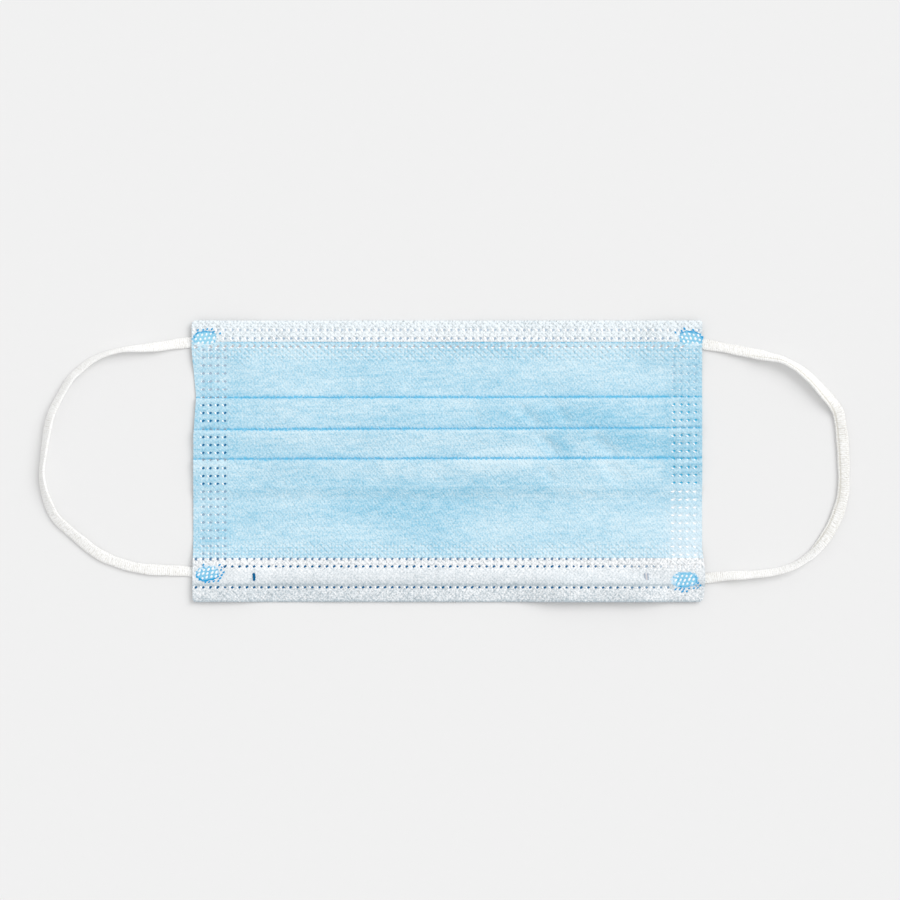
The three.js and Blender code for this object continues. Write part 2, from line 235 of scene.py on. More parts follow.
RIGHT_ROUTE = (
    (0.0795, 0.0415, 0.00075, 0, 0), (0.0835, 0.0410, 0.00075, 0, 0), (0.0880, 0.0401, 0.00075, -6, 0),
    (0.0932, 0.0392, 0.00095, -20, 0), (0.0992, 0.0380, 0.00095, -20, 0), (0.1052, 0.0369, 0.00120, -30, 0.5),
    (0.1102, 0.0359, 0.00180, -48, 1), (0.1144, 0.0349, 0.00220, -58, 1), (0.1182, 0.0330, 0.00230, -54, 1),
    (0.1210, 0.0312, 0.00230, -46, 1), (0.1244, 0.0283, 0.00220, -42, 1), (0.1277, 0.0248, 0.00190, -36, 1),
    (0.1311, 0.0210, 0.00150, -24, 1), (0.1330, 0.0185, 0.00120, -8, 1), (0.1342, 0.0158, 0.00100, 6, 1),
    (0.1352, 0.0092, 0.00090, 8, 1), (0.1357, 0.0024, 0.00090, 8, 1), (0.1359, -0.0050, 0.00090, 8, 1),
    (0.1356, -0.0115, 0.00090, 8, 1), (0.1342, -0.0170, 0.00090, 8, 1), (0.1322, -0.0218, 0.00090, 10, 1),
    (0.1295, -0.0264, 0.00100, 20, 1), (0.1270, -0.0295, 0.00125, 38, 1), (0.1237, -0.0326, 0.00150, 54, 0),
    (0.1180, -0.0361, 0.00165, 62, 0), (0.1115, -0.0380, 0.00155, 54, 0), (0.1035, -0.0389, 0.00145, 50, 0),
    (0.0960, -0.0393, 0.00120, 38, 0), (0.0912, -0.0398, 0.00095, 24, 0), (0.0878, -0.0403, 0.00075, 8, 0),
    (0.0840, -0.0406, 0.00075, 0, 0), (0.0795, -0.0408, 0.00075, 0, 0),
)


def linear(text):
    """A colour for the shaders from an sRGB hex value."""
    coded = np.array([int(text[i:i + 2], 16) for i in (0, 2, 4)]) / 255
    light = np.where(coded <= 0.04045, coded / 12.92, ((coded + 0.055) / 1.055) ** 2.4)
    return (*light.tolist(), 1.0)


# ---- Sizes and colours that a user would change


def length(name, description, default):
    return FloatProperty(name=name, description=description, default=default,
                         min=0.0, unit="LENGTH", precision=5)


def colour(name, description, default):
    return FloatVectorProperty(name=name, description=description, default=linear(default),
                               size=4, min=0.0, max=1.0, subtype="COLOR")


def share(name, description, default):
    return FloatProperty(name=name, description=description, default=default,
                         min=0.0, max=1.0, subtype="FACTOR")


class FaceMaskWall(PropertyGroup):
    """Sizes of the folded wall."""

    ply: length("Ply", "Thickness of one ply of nonwoven", 0.0002)
    ply_gap: length("Gap between plies", "Space that the filter ply takes", 0.00004)
    layer_gap: length("Gap between layers", "Between folded layers of the wall", 0.00012)
    nose_hem: length("Nose hem", "Width of the hem over the nose wire", 0.01505)
    chin_hem: length("Chin hem", "Width of the hem at the chin", 0.00725)
    pleat_depth: length("Pleat depth", "From a pleat's edge back to its hidden fold", 0.009)
    first_ramp: length("First ramp", "Length of the climb onto the first hidden fold", 0.0055)
    wire_bulge: length("Wire bulge", "How far the hem bulges over the nose wire", 0.00078)
    side_press: share("Side press", "Height of the layers at the side welds, as a share", 0.62)
    press_from: length("Press from", "Where the layers start to be pressed, from the middle", 0.045)
    press_to: length("Press to", "Inner edge of the welded band, from the middle", 0.0755)


class FaceMaskWelds(PropertyGroup):
    """Sizes of the ultrasonic welds."""

    half_width: length("Crater half width", "Half of a weld's crater along X", 0.00092)
    half_height: length("Crater half height", "Half of a weld's crater along Y", 0.00075)
    squeeze: share("Squeeze", "How far a weld squeezes the layers together", 0.78)
    film_width: length("Film width", "Width of the glossy film in a weld", 0.00166)
    film_height: length("Film height", "Height of the glossy film in a weld", 0.00120)
    loop_squeeze: share("Loop squeeze", "How far a loop's weld squeezes the layers", 0.35)
    mark_height: length("Mark half height", "Half height of the marks beside the wire", 0.00165)
    puff: length("Puff", "How far the cloth swells between the welds", 0.00016)
    knurl_pitch: length("Knurl pitch", "From point to point along a row in a loop's weld", 0.00155)
    knurl_row: length("Knurl row", "From row to row of points in a loop's weld", 0.0013)


class FaceMaskLoops(PropertyGroup):
    """Sizes of the ear loops."""

    width: length("Width", "Width of the flat elastic", 0.0036)
    thickness: length("Thickness", "Thickness of the elastic", 0.0013)
    groove: share("Groove", "Depth of the line beside a rolled edge, as a share", 0.3)
    # These two shares set the painted shade where each loop lies flat.
    left_lying_shade: share("Left ribs open", "How far the left loop's ribs open where it is flat", 0.12)
    right_lying_shade: share("Right ribs open", "How far the right loop's ribs open where it is flat", 0.28)
    inner_edge: IntProperty(name="Inner edge", description="Side of the rolled edge, 1 or -1",
                            default=-1, min=-1, max=1)
    wales: IntProperty(name="Ribs", description="Ribs along each face", default=5, min=1)
    rings: IntProperty(name="Rings", description="Sections along a loop", default=420, min=40)
    pressed: share("Pressed", "Thickness of the welded ends, as a share", 0.5)
    pressed_to: length("Pressed to", "The ends are pressed as far as this from the middle", 0.0885)
    free_from: length("Free from", "The elastic has its full height from here on", 0.102)


class FaceMaskColours(PropertyGroup):
    """Colours of the finishes."""

    blue_deep: colour("Dense blue", "Blue ply where its fibres lie close", "85C3DE")
    blue_pale: colour("Thin blue", "Blue ply where its fibres lie loose", "D4EBF5")
    # Also the painted shade in the crease past each fold and beside the edge of the chin hem.
    blue_fold_and_crease_shade: colour("Fold blue", "Blue ply along a pressed fold", "34B8E2")
    white_pale: colour("White", "White ply where its fibres lie loose", "FBFDFF")
    white_deep: colour("Shaded white", "White ply where its fibres lie close", "B7C3CA")
    film_blue: colour("Blue film", "Film of a weld where the blue ply shows through", "006C9E")
    film_deep: colour("Weld film, nose hem", "Films of the nose hem, where the blue lies deepest",
                      "005E8E")
    film_grey: colour("Grey film", "Film of a weld that the light shines through", "88A8C0")
    film_warm: colour("Warm film", "Film of a weld beside a fold or hem, where no blue shows",
                      "948C94")
    film_light: colour("Light blue film", "Film of a weld through the blue ply's side alone",
                       "42B0D6")
    # The same white makes the painted highlights beside the weld films.
    film_white_and_highlight: colour("Film rim", "Rim of a weld, whitened where the cloth was drawn", "FFFFFF")
    pad_pale: colour("Loop weld pale", "Fused plies over the loop ends", "9AD5EC")
    pad_deep: colour("Loop weld deep", "Rim of the weld over the loop ends", "0098D2")
    elastic: colour("Elastic", "Knitted elastic", "FFFFFE")
    coating: colour("Wire coating", "Coating of the nose wire", "F0F0EC")
    paper: colour("Paper", "Surface that the mask lies on", "E9E9E9")


class FaceMaskStage(PropertyGroup):
    """Camera and light."""

    camera_height: length("Camera height", "Camera above the surface", 1.2)
    camera_over: FloatVectorProperty(
        name="Camera over", description="Point of the surface that the camera is above",
        default=(0.00065, 0.00386), size=2, unit="LENGTH", precision=5)
    view_width: length("View width", "Width of the surface that the camera sees", 0.3088)
    sun: FloatProperty(name="Main light", description="Strength of the soft sun", default=1.42)
    sun_from: FloatVectorProperty(name="Light from", description="Where the soft sun stands",
                                  default=(0.68, 0.44, 0.74), subtype="XYZ")
    sun_angle: FloatProperty(name="Softness", description="Angle that the soft sun fills",
                             default=math.radians(42), subtype="ANGLE")
    fill: FloatProperty(name="Fill light", description="Even light from all sides", default=0.78)


class FaceMaskSettings(PropertyGroup):
    """All settings of the face mask."""

    wall: PointerProperty(type=FaceMaskWall)
    welds: PointerProperty(type=FaceMaskWelds)
    loops: PointerProperty(type=FaceMaskLoops)
    colours: PointerProperty(type=FaceMaskColours)
    stage: PointerProperty(type=FaceMaskStage)


# ---- Shapes


def smooth(at):
    """A level-ended ramp from 0 to 1: three times the square less twice the cube."""
    at = np.clip(at, 0.0, 1.0)
    return at * at * (3.0 - 2.0 * at)


def ramp(value, start, width):
    """The level-ended ramp: 0 up to a start, and 1 from a width beyond it."""
    return smooth((value - start) / width)


def bell(value, middle, width):
    """A bell curve, 1 at its middle: it falls with the square of the distance in widths."""
    return np.exp(-((value - middle) / width) ** 2)


def squarer(wave, power):
    """A sine or cosine whose size is raised to a power, which makes a circle squarer."""
    return np.sign(wave) * np.abs(wave) ** power


def angles_round(sides):
    return np.arange(sides) * 2 * math.pi / sides


def distances(points):
    """How far along a line of points each one lies."""
    steps = np.linalg.norm(np.diff(points, axis=0), axis=1)
    return np.concatenate([[0.0], np.cumsum(steps)])


def along_aside(x, y, middle_x, middle_y, degrees):
    """How far places lie along a line through a middle, turned from +X, and aside from it."""
    turn = math.radians(degrees)
    along = (x - middle_x) * math.cos(turn) + (y - middle_y) * math.sin(turn)
    aside = (y - middle_y) * math.cos(turn) - (x - middle_x) * math.sin(turn)
    return along, aside


# The widest gaps between the grid's rows, where they are hidden and where they are seen from above,
# and the extra rows just past each fold.
COARSE, FINE = 0.0021, 0.0008
PAST_FOLD = (0.0004, 0.0009)


def row_lines(welds, widest=COARSE):
    """Where the grid's rows lie along Y: at the middle and at both rims of each row of welds, just
    past each fold, and evenly in between where that leaves a wide gap."""
    nearest = 0.00008
    rows = np.concatenate([HEM_Y, SIDE_ROWS])
    rims = np.concatenate([rows - welds.half_height, rows, rows + welds.half_height])
    if widest == FINE:
        past_folds = [pleat["edge"] + past for pleat in PLEATS for past in PAST_FOLD]
        rims = np.concatenate([rims, past_folds])
    lines = np.unique(np.concatenate([rims, [-HALF_HEIGHT, HALF_HEIGHT]]).round(6))
    lines = lines[np.concatenate([[True], np.diff(lines) > nearest])]
    return np.unique(np.concatenate([
        np.linspace(low, high, math.ceil((high - low) / widest - 0.01) + 1)
        for low, high in zip(lines[:-1], lines[1:])
    ]).round(6))


def stretch(lines, start, end, height):
    """A level stretch of the section from one Y to another, with the grid's rows between them."""
    clear = 0.00012
    low, high = min(start, end), max(start, end)
    inside = lines[(lines > low + clear) & (lines < high - clear)]
    y = np.concatenate([[low], inside, [high]])[:: 1 if end > start else -1]
    return np.stack([y, np.full(len(y), height)], axis=1)


def half_turn(y, height, radius, side, steps=4):
    """Half a circle about a centre, between its upper end and its lower one, bulging towards the
    chin where side is 1 and towards the nose where it is -1."""
    angle = np.linspace(math.pi / 2, -math.pi / 2, steps + 1)[1:-1]
    return np.stack([y + side * radius * np.cos(angle), height + radius * np.sin(angle)], axis=1)


def wall_line(wall, welds, widest):
    """The middle line of the folded wall at the middle of the mask, from nose edge to chin edge.
    widest is the widest gap between rows where the line can be seen from above.

    Straight stretches lie one layer above another and half turns join them. Past the nose panel
    the line climbs onto a pleat, turns back at its edge, turns forward again at its hidden fold,
    and runs on along the surface. A smooth ramp along each pleat then lifts its edge.
    Returns Y and Z, how much each row leans with X, and whether it can be seen from above.
    """
    hidden, front = row_lines(welds), row_lines(welds, widest)
    ground = (2 * wall.ply + wall.ply_gap) / 2
    layer = 2 * ground + wall.layer_gap
    radius = layer / 2
    tilt_fades = 0.01
    parts, leans, seen = [], [], []

    def add_part(points, lean, visible):
        parts.append(points)
        leans.append(np.full(len(points), lean) if np.isscalar(lean) else lean)
        seen.append(np.full(len(points), visible))

    start, tilt, lift = -HALF_HEIGHT, 0.0, 0.0
    for index, pleat in enumerate(PLEATS):
        edge, back = pleat["edge"], pleat["edge"] - wall.pleat_depth
        front_centre, back_centre = edge - ground - radius, back + ground + radius
        climb = back - start if index else wall.first_ramp
        top = stretch(front, start, front_centre, ground + 2 * layer)[1 if index else 0:]
        climbed = ramp(top[:, 0], back - climb, climb)
        top[:, 1] = ground + lift + (2 * layer - lift) * climbed
        lean = tilt + (pleat["tilt"] - tilt) * climbed
        front_turn = half_turn(front_centre, ground + 1.5 * layer, radius, 1)
        middle = stretch(hidden, front_centre, back_centre, ground + layer)
        back_turn = half_turn(back_centre, ground + 0.5 * layer, radius, -1)
        bottom = stretch(hidden, back_centre, edge, ground)
        for folded in (top, front_turn, middle, back_turn, bottom):
            folded[:, 1] += pleat["lift"] * ramp(folded[:, 0], back, wall.pleat_depth)
        add_part(top, lean, True)
        add_part(front_turn, pleat["tilt"], True)
        for folded in (middle, back_turn, bottom):
            add_part(folded, pleat["tilt"], False)
        start, tilt, lift = edge, pleat["tilt"], pleat["lift"]
    panel = stretch(front, start, HALF_HEIGHT, ground)[1:]
    add_part(panel, tilt * (1 - ramp(panel[:, 0], start, tilt_fades)), True)
    points = np.concatenate(parts)
    return {"y": points[:, 0], "z": points[:, 1],
            "lean": np.concatenate(leans), "seen": np.concatenate(seen)}


def beside(line, distance):
    """A line of the section moved to its left by a distance, along its normals."""
    points = np.stack([line["y"], line["z"]], axis=1)
    tangent = np.gradient(points, axis=0)
    tangent /= np.linalg.norm(tangent, axis=1, keepdims=True)
    y = line["y"] - tangent[:, 1] * distance
    z = line["z"] + tangent[:, 0] * distance
    return {**line, "y": y, "z": z}


def rise(x, y):
    """How far the wall stands off the surface: the highest of the rises, each level over its
    middle and fading out smoothly, and the soft waves of the cloth."""
    height = np.zeros(np.broadcast(x, y).shape)
    for middle_x, middle_y, high, reach_x, reach_y in RISES:
        fade = high
        for away in (np.abs(x - middle_x) / reach_x, np.abs(y - middle_y) / reach_y):
            fade = fade * (1 - ramp(away, RISE_LEVEL_SHARE, 1 - RISE_LEVEL_SHARE))
        height = np.maximum(height, fade)
    for wave, direction, phase, high in WAVES:
        along, _ = along_aside(x, y, 0.0, 0.0, direction)
        height = height + high * (0.5 + 0.5 * np.sin(2 * math.pi * along / wave + phase))
    return height + loose_cloth(x, y)


def loose_cloth(x, y):
    """The raised loose part of the wall with its grooves. Each groove is a bell curve across its
    line, whose depth fades smoothly to nothing at both ends."""
    groove_level, raised_level, lowest = 0.3, 0.4, -0.00002
    away = np.hypot((x - LOOSE["x"]) / LOOSE["reach_x"], (y - LOOSE["y"]) / LOOSE["reach_y"])
    groove = np.zeros(np.broadcast(x, y).shape)
    for middle_x, middle_y, direction, half, width, depth in GROOVES:
        along, aside = along_aside(x, y, middle_x, middle_y, direction)
        fade = 1 - ramp(np.abs(along) / half, groove_level, 1 - groove_level)
        groove = np.maximum(groove, depth * fade * bell(aside, 0.0, width))
    raised = LOOSE["height"] * (1 - ramp(away, raised_level, 1 - raised_level))
    return np.maximum(raised - groove, lowest)


def patches(x, y, ovals):
    """How much denser the web looks, partly where its fibres lie close and partly as painted light
    and shade on low waves: the sum of bell-shaped ovals, flatter along than across.
    """
    patch_density_and_shade = np.zeros(np.broadcast(x, y).shape)
    for middle_x, middle_y, direction, half_length, half_width, amount in ovals:
        along, aside = along_aside(x, y, middle_x, middle_y, direction)
        patch_density_and_shade = patch_density_and_shade + amount * np.exp(-(along / half_length) ** 4 - (aside / half_width) ** 2)
    return patch_density_and_shade


def in_loop_weld(x, y, margin):
    """How far inside a loop's weld each place lies: 1 in its middle, 0 from its rim on. margin
    widens the weld."""
    inside = np.zeros(np.broadcast(x, y).shape)
    for weld in LOOP_WELDS:
        along, aside = along_aside(x, y, weld.x, weld.y, weld.turn)
        inside = np.maximum(inside, 1 - np.hypot(along / (weld.half_length * margin),
                                                 aside / (weld.half_height * margin)))
    return inside


def press(x, wall):
    """How much of their full height the layers have: all of it in the middle, and a share of it
    in the welded bands, with a smooth ramp between them."""
    pressed = ramp(np.abs(x), wall.press_from, wall.press_to - wall.press_from)
    return 1 - (1 - wall.side_press) * pressed


def columns(y, welds):
    """The grid's columns at each Y: the left edge, three for each column of dots, at its middle
    and its rims, and the right edge. Returns their X and the number of the dot at each middle."""
    first, last = (np.interp(y, DOT_SPANS[:, 0], DOT_SPANS[:, i])[:, None] for i in (1, 2))
    left, right = (np.interp(y, SIDES[:, 0], SIDES[:, i])[:, None] for i in (1, 2))
    middles = first + (last - first) * np.arange(DOTS) / (DOTS - 1)
    rims = np.array([-welds.half_width, 0.0, welds.half_width])
    x = (middles[:, :, None] + rims).reshape(len(y), -1)
    dots = np.full((DOTS, 3), -1)
    dots[:, 1] = np.arange(DOTS)
    # Each column keeps a little further from the edges than the last, so that no two coincide.
    clear = 0.0001 * np.arange(1, x.shape[1] + 1)
    x = np.concatenate([left, np.clip(x, left + clear, right - clear[::-1]), right], axis=1)
    return x, np.concatenate([[-1], dots.ravel(), [-1]])


def dot_columns(surface):
    """The numbers of the grid's columns through the middles of the dots."""
    return np.arange(2, surface.shape[1] - 1, 3)


def weld_depth(x, y, dots, welds):
    """How deep each point of a grid lies in a weld dot: 1 at its middle, down to 0 at its rim. A
    dent is a shallow one. There are none under the welds of the loops."""
    dent = 0.35
    amount = np.zeros(x.shape)
    for rows, named, reach, deepest in (
            (HEM_Y, range(DOTS), welds.half_height, 1.0),
            (SIDE_ROWS, LEFT_COLUMNS + RIGHT_COLUMNS, welds.half_height, 1.0),
            (np.array([DENT_ROW]), range(DOTS), welds.half_height, dent),
            (np.array([MARK_ROW]), MARK_COLUMNS, welds.mark_height, 1.0)):
        away = np.abs(y[:, None] - rows).min(axis=1)
        depth = deepest * np.clip(1 - away / reach, 0, 1)
        amount = np.maximum(amount, depth[:, None] * np.isin(dots, list(named)))
    return np.where(in_loop_weld(x, y[:, None], PAD_CLEAR) > 0, 0.0, amount)


def squeeze(x, y, dots, welds):
    """How far the layers are squeezed together at each point of a grid: in the weld dots by their
    depth, and a little under the welds of the loops."""
    under_loop_weld = smooth(in_loop_weld(x, y[:, None], PAD_CLEAR) * 3)
    return np.maximum(welds.squeeze * weld_depth(x, y, dots, welds),
                      welds.loop_squeeze * under_loop_weld)


def sunk_in_welds(line, welds):
    """How deep each point of a ply's grid lies in a weld dot, where it can be seen."""
    x, dots = columns(line["y"], welds)
    return weld_depth(x, line["y"], dots, welds) * line["seen"][:, None]


def puffed(line, welds):
    """How far the cloth on top swells between the welds: most between the dots, and fading out
    over two millimetres beyond the outermost ones. Only what can be seen swells."""
    reach, band_middle, band_reach = 0.002, 0.0804, 0.0055
    seen = line["seen"][:, None]

    def proud(x, y):
        near_row = 1 - ramp(np.abs(y - HEM_Y).min(axis=1, keepdims=True), 0.0, reach)
        beside_rows = 1 - ramp(np.maximum(SIDE_ROWS[-1] - y, y - SIDE_ROWS[0]), 0.0, reach)
        near_column = 1 - ramp(np.abs(np.abs(x) - band_middle), 0.0, band_reach)
        window = np.maximum(near_row * np.ones(x.shape), beside_rows * near_column)
        clear = 1 - smooth(in_loop_weld(x, y, 1.4) * 4)
        return seen * welds.puff * window * clear

    return proud


def wire_bulge(line, wall):
    """How far the front of the hem stands proud over the wire: a parabola between the two rows of
    welds, at its full height along the wire and lower past its ends, with two faint creases."""
    low, high = HEM_Y[0] + 0.0002, HEM_Y[1] - 0.0003
    middle, half = (low + high) / 2, (high - low) / 2
    past_end = 0.35
    front = (line["seen"] & (line["y"] < 0))[:, None]

    def proud(x, y):
        arch = np.clip(1 - ((y - middle) / half) ** 2, 0, 1)
        beyond = np.maximum(WIRE_LOW.x - x, x - WIRE_HIGH.x)
        along = 1 - (1 - past_end) * ramp(beyond, 0.0, 0.003)
        ends = 1 - ramp(np.abs(x), 0.070, 0.009)
        creases = 1 - 0.3 * bell(x, -0.0048, 0.0007) - 0.25 * bell(x, 0.0004, 0.0007)
        return front * wall.wire_bulge * arch * along * ends * creases

    return proud


def place(line, wall, welds, proud):
    """Carries a line of the section across the mask as a grid of points.

    Its height is pressed towards the sides, squeezed at the welds towards a level near the back,
    and lifted by what lies under it. proud lists the swellings that stand on top of that.
    """
    x, dots = columns(line["y"], welds)
    y = line["y"][:, None] + line["lean"][:, None] * x / HALF_LENGTH
    level = 0.5 * wall.ply
    z = line["z"][:, None] * press(x, wall)
    squeezed = squeeze(x, line["y"], dots, welds)
    z = level + (z - level) * (1 - squeezed)
    for swell in proud:
        z = z + swell(x, line["y"][:, None]) * (1 - squeezed)
    return np.stack([x, y, z + rise(x, y)], axis=2)


def outer_ply_line(wall, welds):
    """The outer ply's middle line: the wall line beside itself, short of the two hem turns."""
    line = beside(wall_line(wall, welds, FINE), (wall.ply + wall.ply_gap) / 2)
    keep = np.abs(line["y"]) < HALF_HEIGHT - wall.ply * 2.5
    return {key: value[keep] for key, value in line.items()}


def inner_ply_line(wall, welds):
    """The inner ply's middle line: from the cut edge of the nose hem back along the front, round
    the nose edge, behind the outer ply, round the chin edge, and on to the cut edge of its hem."""
    lines = row_lines(welds)
    extra = [row + i * reach for row, reach in ((DENT_ROW, welds.half_height),
                                                (MARK_ROW, welds.mark_height))
             for i in (-1, 0, 1)]
    front_lines = np.unique(np.concatenate([lines, extra]).round(6))
    back = beside(wall_line(wall, welds, COARSE), -(wall.ply + wall.ply_gap) / 2)
    front_z = 2.5 * wall.ply + 2 * wall.ply_gap
    back_z = wall.ply / 2
    radius = (front_z - back_z) / 2
    centre = HALF_HEIGHT - wall.ply / 2 - radius
    keep = np.abs(back["y"]) < centre - 0.0001
    nose_front = stretch(front_lines, -(HALF_HEIGHT - wall.nose_hem), -centre, front_z)
    chin_front = stretch(lines, centre, HALF_HEIGHT - wall.chin_hem, front_z)
    nose_turn = half_turn(-centre, (front_z + back_z) / 2, radius, -1)
    chin_turn = half_turn(centre, (front_z + back_z) / 2, radius, 1)[::-1]
    behind = np.stack([back["y"][keep], back["z"][keep]], axis=1)
    ends = [np.array([[side * centre, back_z]]) for side in (-1, 1)]
    parts = [nose_front, nose_turn, ends[0], behind, ends[1], chin_turn, chin_front]
    points = np.concatenate(parts)
    before, after = (sum(map(len, part)) for part in (parts[:3], parts[4:]))
    lean = np.concatenate([np.zeros(before), back["lean"][keep], np.zeros(after)])
    seen = np.concatenate([np.ones(before, bool), np.zeros(keep.sum(), bool), np.ones(after, bool)])
    return {"y": points[:, 0], "z": points[:, 1], "lean": lean, "seen": seen}


def ply_grids(settings, ply):
    """The line of a ply's rows, and its two faces as grids: its middle line moved half the
    thickness to the left, which is the front of the outer ply, and to the right."""
    wall, welds = settings.wall, settings.welds
    if ply == "outer":
        line = outer_ply_line(wall, welds)
        proud = [puffed(line, welds)]
    else:
        line = inner_ply_line(wall, welds)
        proud = [puffed(line, welds), wire_bulge(line, wall)]
    return line, [place(beside(line, side * wall.ply / 2), wall, welds, proud) for side in (1, -1)]


# ---- Meshes


def new_mesh(name, points, quads, triangles=(), uv=None, attributes=None, sharp=180):
    """A mesh object from whole arrays: points, faces with four and three corners, a UV map named
    cloth and named values of the points. Edges sharper than sharp, in degrees, stay sharp."""
    points = np.asarray(points, np.float32).reshape(-1, 3)
    quads = np.asarray(quads, np.int32).reshape(-1, 4)
    triangles = np.asarray(triangles, np.int32).reshape(-1, 3)
    corners = np.concatenate([quads.ravel(), triangles.ravel()])
    sizes = np.concatenate([np.full(len(quads), 4), np.full(len(triangles), 3)])
    starts = np.concatenate([[0], np.cumsum(sizes)[:-1]])
    mesh = bpy.data.meshes.new(name)
    mesh.vertices.add(len(points))
    mesh.vertices.foreach_set("co", points.ravel())
    mesh.loops.add(len(corners))
    mesh.loops.foreach_set("vertex_index", corners)
    mesh.polygons.add(len(sizes))
    mesh.polygons.foreach_set("loop_start", starts.astype(np.int32))
    mesh.polygons.foreach_set("use_smooth", np.ones(len(sizes), bool))
    if uv is not None:
        layer = mesh.uv_layers.new(name="cloth")
        layer.uv.foreach_set("vector", np.asarray(uv, np.float32).reshape(-1, 2)[corners].ravel())
    for key, values in (attributes or {}).items():
        layer = mesh.attributes.new(key, "FLOAT", "POINT")
        layer.data.foreach_set("value", np.asarray(values, np.float32).ravel())
    mesh.update(calc_edges=True)
    if mesh.validate():
        raise RuntimeError(f"{name} has faces that Blender had to mend")
    if sharp < 180:
        mesh.set_sharp_from_angle(angle=math.radians(sharp))
    piece = bpy.data.objects.new(name, mesh)
    bpy.context.scene.collection.objects.link(piece)
    return piece


def grid_faces(rows, cols, first=0, around=False):
    """The faces of a grid of points, counted row by row. around also joins its last column to its
    first one."""
    numbers = first + np.arange(rows * cols).reshape(rows, cols)
    if around:
        numbers = np.concatenate([numbers, numbers[:, :1]], axis=1)
    return np.stack([numbers[:-1, :-1], numbers[:-1, 1:], numbers[1:, 1:], numbers[1:, :-1]],
                    axis=2).reshape(-1, 4)


def fan(point, first, second):
    """Triangles that each join one point to a first and a second one."""
    return np.stack([np.full(len(first), point), first, second], axis=1)


def sheet_piece(name, faces_of_ply, uv, attributes):
    """A closed sheet from its two faces, with a strip along each of its four edges."""
    top, under = faces_of_ply
    rows, cols = top.shape[:2]
    count = rows * cols
    upper = grid_faces(rows, cols)
    lower = grid_faces(rows, cols, count)[:, ::-1]
    numbers = np.arange(count).reshape(rows, cols)
    edges = [np.stack([edge[:-1], edge[1:], edge[1:] + count, edge[:-1] + count], axis=1)
             for edge in (numbers[0, ::-1], numbers[-1], numbers[:, 0], numbers[::-1, -1])]
    return new_mesh(
        name, np.concatenate([top.reshape(-1, 3), under.reshape(-1, 3)]),
        np.concatenate([upper, lower, *edges]), uv=np.concatenate([uv.reshape(-1, 2)] * 2),
        attributes={key: np.concatenate([value.ravel()] * 2) for key, value in attributes.items()},
        sharp=65,
    )


def tube(name, points, ends, **layers):
    """A closed tube from a grid with a section in each row, and a point at each end."""
    rings, sides = points.shape[:2]
    number = np.arange(sides)
    after = np.roll(number, -1)
    last_ring = (rings - 1) * sides
    caps = [fan(rings * sides, after, number),
            fan(rings * sides + 1, number + last_ring, after + last_ring)]
    return new_mesh(name, np.concatenate([points.reshape(-1, 3), ends]),
                    grid_faces(rings, sides, around=True), np.concatenate(caps), **layers)


def small_ovals(name, middles, long_axis, short_axis, reach, rings, beneath, attributes):
    """Many small ovals as one closed mesh: each a point in its middle, two rings round it and a
    point beneath.

    A ring is the middle plus its reach times the cosine of the long half axis and the sine of the
    short one, raised by its height. rings gives the heights of the middle and of both rings for
    each oval, and each attribute the values at those three and beneath.
    """
    sides, count = 8, len(middles)
    angle = angles_round(sides)
    rim = (np.cos(angle)[:, None] * long_axis[:, None] + np.sin(angle)[:, None]
           * short_axis[:, None])
    up = np.array([0.0, 0.0, 1.0])
    rings, beneath = rings[:, :, None] * up, beneath[:, None] * up
    points = np.concatenate([
        (middles + rings[:, 0])[:, None],
        *(middles[:, None] + share_out * rim + rings[:, i + 1][:, None]
          for i, share_out in enumerate(reach)),
        (middles + beneath)[:, None]], axis=1)
    number = np.arange(sides) + 1
    after = np.roll(number, -1)
    caps = np.concatenate([fan(0, number, after), fan(2 * sides + 1, after + sides, number + sides)])
    band = np.stack([number, number + sides, after + sides, after], axis=1)
    step = np.arange(count)[:, None, None] * (2 * sides + 2)
    return new_mesh(name, points, band[None] + step, caps[None] + step, sharp=80, attributes={
        key: np.repeat(np.broadcast_to(values, (count, 4)), [1, sides, sides, 1], axis=1)
        for key, values in attributes.items()})


def ride(piece, material, slot, *nodes):
    """Paints a piece, fixes it to the mask, and hides the solids that it stands for."""
    piece.data.materials.append(material)
    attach(piece, BODY)
    if nodes:
        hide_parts(*nodes)


# ---- Materials


def add(tree, kind, inputs=None, output=0, **settings):
    """Adds a node, sets its settings, gives each named input a value or links it to a socket, and
    returns one of its outputs."""
    node = tree.nodes.new("ShaderNode" + kind)
    for key, value in settings.items():
        setattr(node, key, value)
    for key, value in (inputs or {}).items():
        if isinstance(value, bpy.types.NodeSocket):
            tree.links.new(value, node.inputs[key])
        else:
            node.inputs[key].default_value = value
    return node.outputs[output]


# How a Mix node blends colours. Its sockets 0, 6 and 7 are the factor and the two colours.
BLEND = {"data_type": "RGBA", "output": 2}
# How a Map Range node makes a smooth step, from 0 where its value is From Min to 1 at From Max.
STEP = {"interpolation_type": "SMOOTHSTEP"}


def new_material(name, **surface):
    """A material with a Principled surface, whose plain values are set on its own sockets."""
    material = bpy.data.materials.new(name)
    material.use_nodes = True
    shader = material.node_tree.nodes["Principled BSDF"]
    for key, value in surface.items():
        shader.inputs[key.replace("_", " ")].default_value = value
    return material, material.node_tree


def finished(material, colour, millimetres=None):
    """The material with its colour, and its normals bent by a height in millimetres."""
    tree = material.node_tree
    shader = tree.nodes["Principled BSDF"]
    tree.links.new(colour, shader.inputs["Base Color"])
    if millimetres is not None:
        bump = add(tree, "Bump", {"Height": millimetres, "Strength": 1.0, "Distance": 0.001})
        tree.links.new(bump, shader.inputs["Normal"])
    return material


def total(tree, start, *terms):
    """A value plus each socket times its weight. The weight may be a socket too."""
    for socket, weight in terms:
        start = add(tree, "Math", {0: socket, 1: weight, 2: start}, operation="MULTIPLY_ADD")
    return start


def swaying(tree, middle, *terms):
    """The total less half of each weight, so that noises from 0 to 1 sway about the middle."""
    return total(tree, middle - 0.5 * sum(weight for _, weight in terms), *terms)


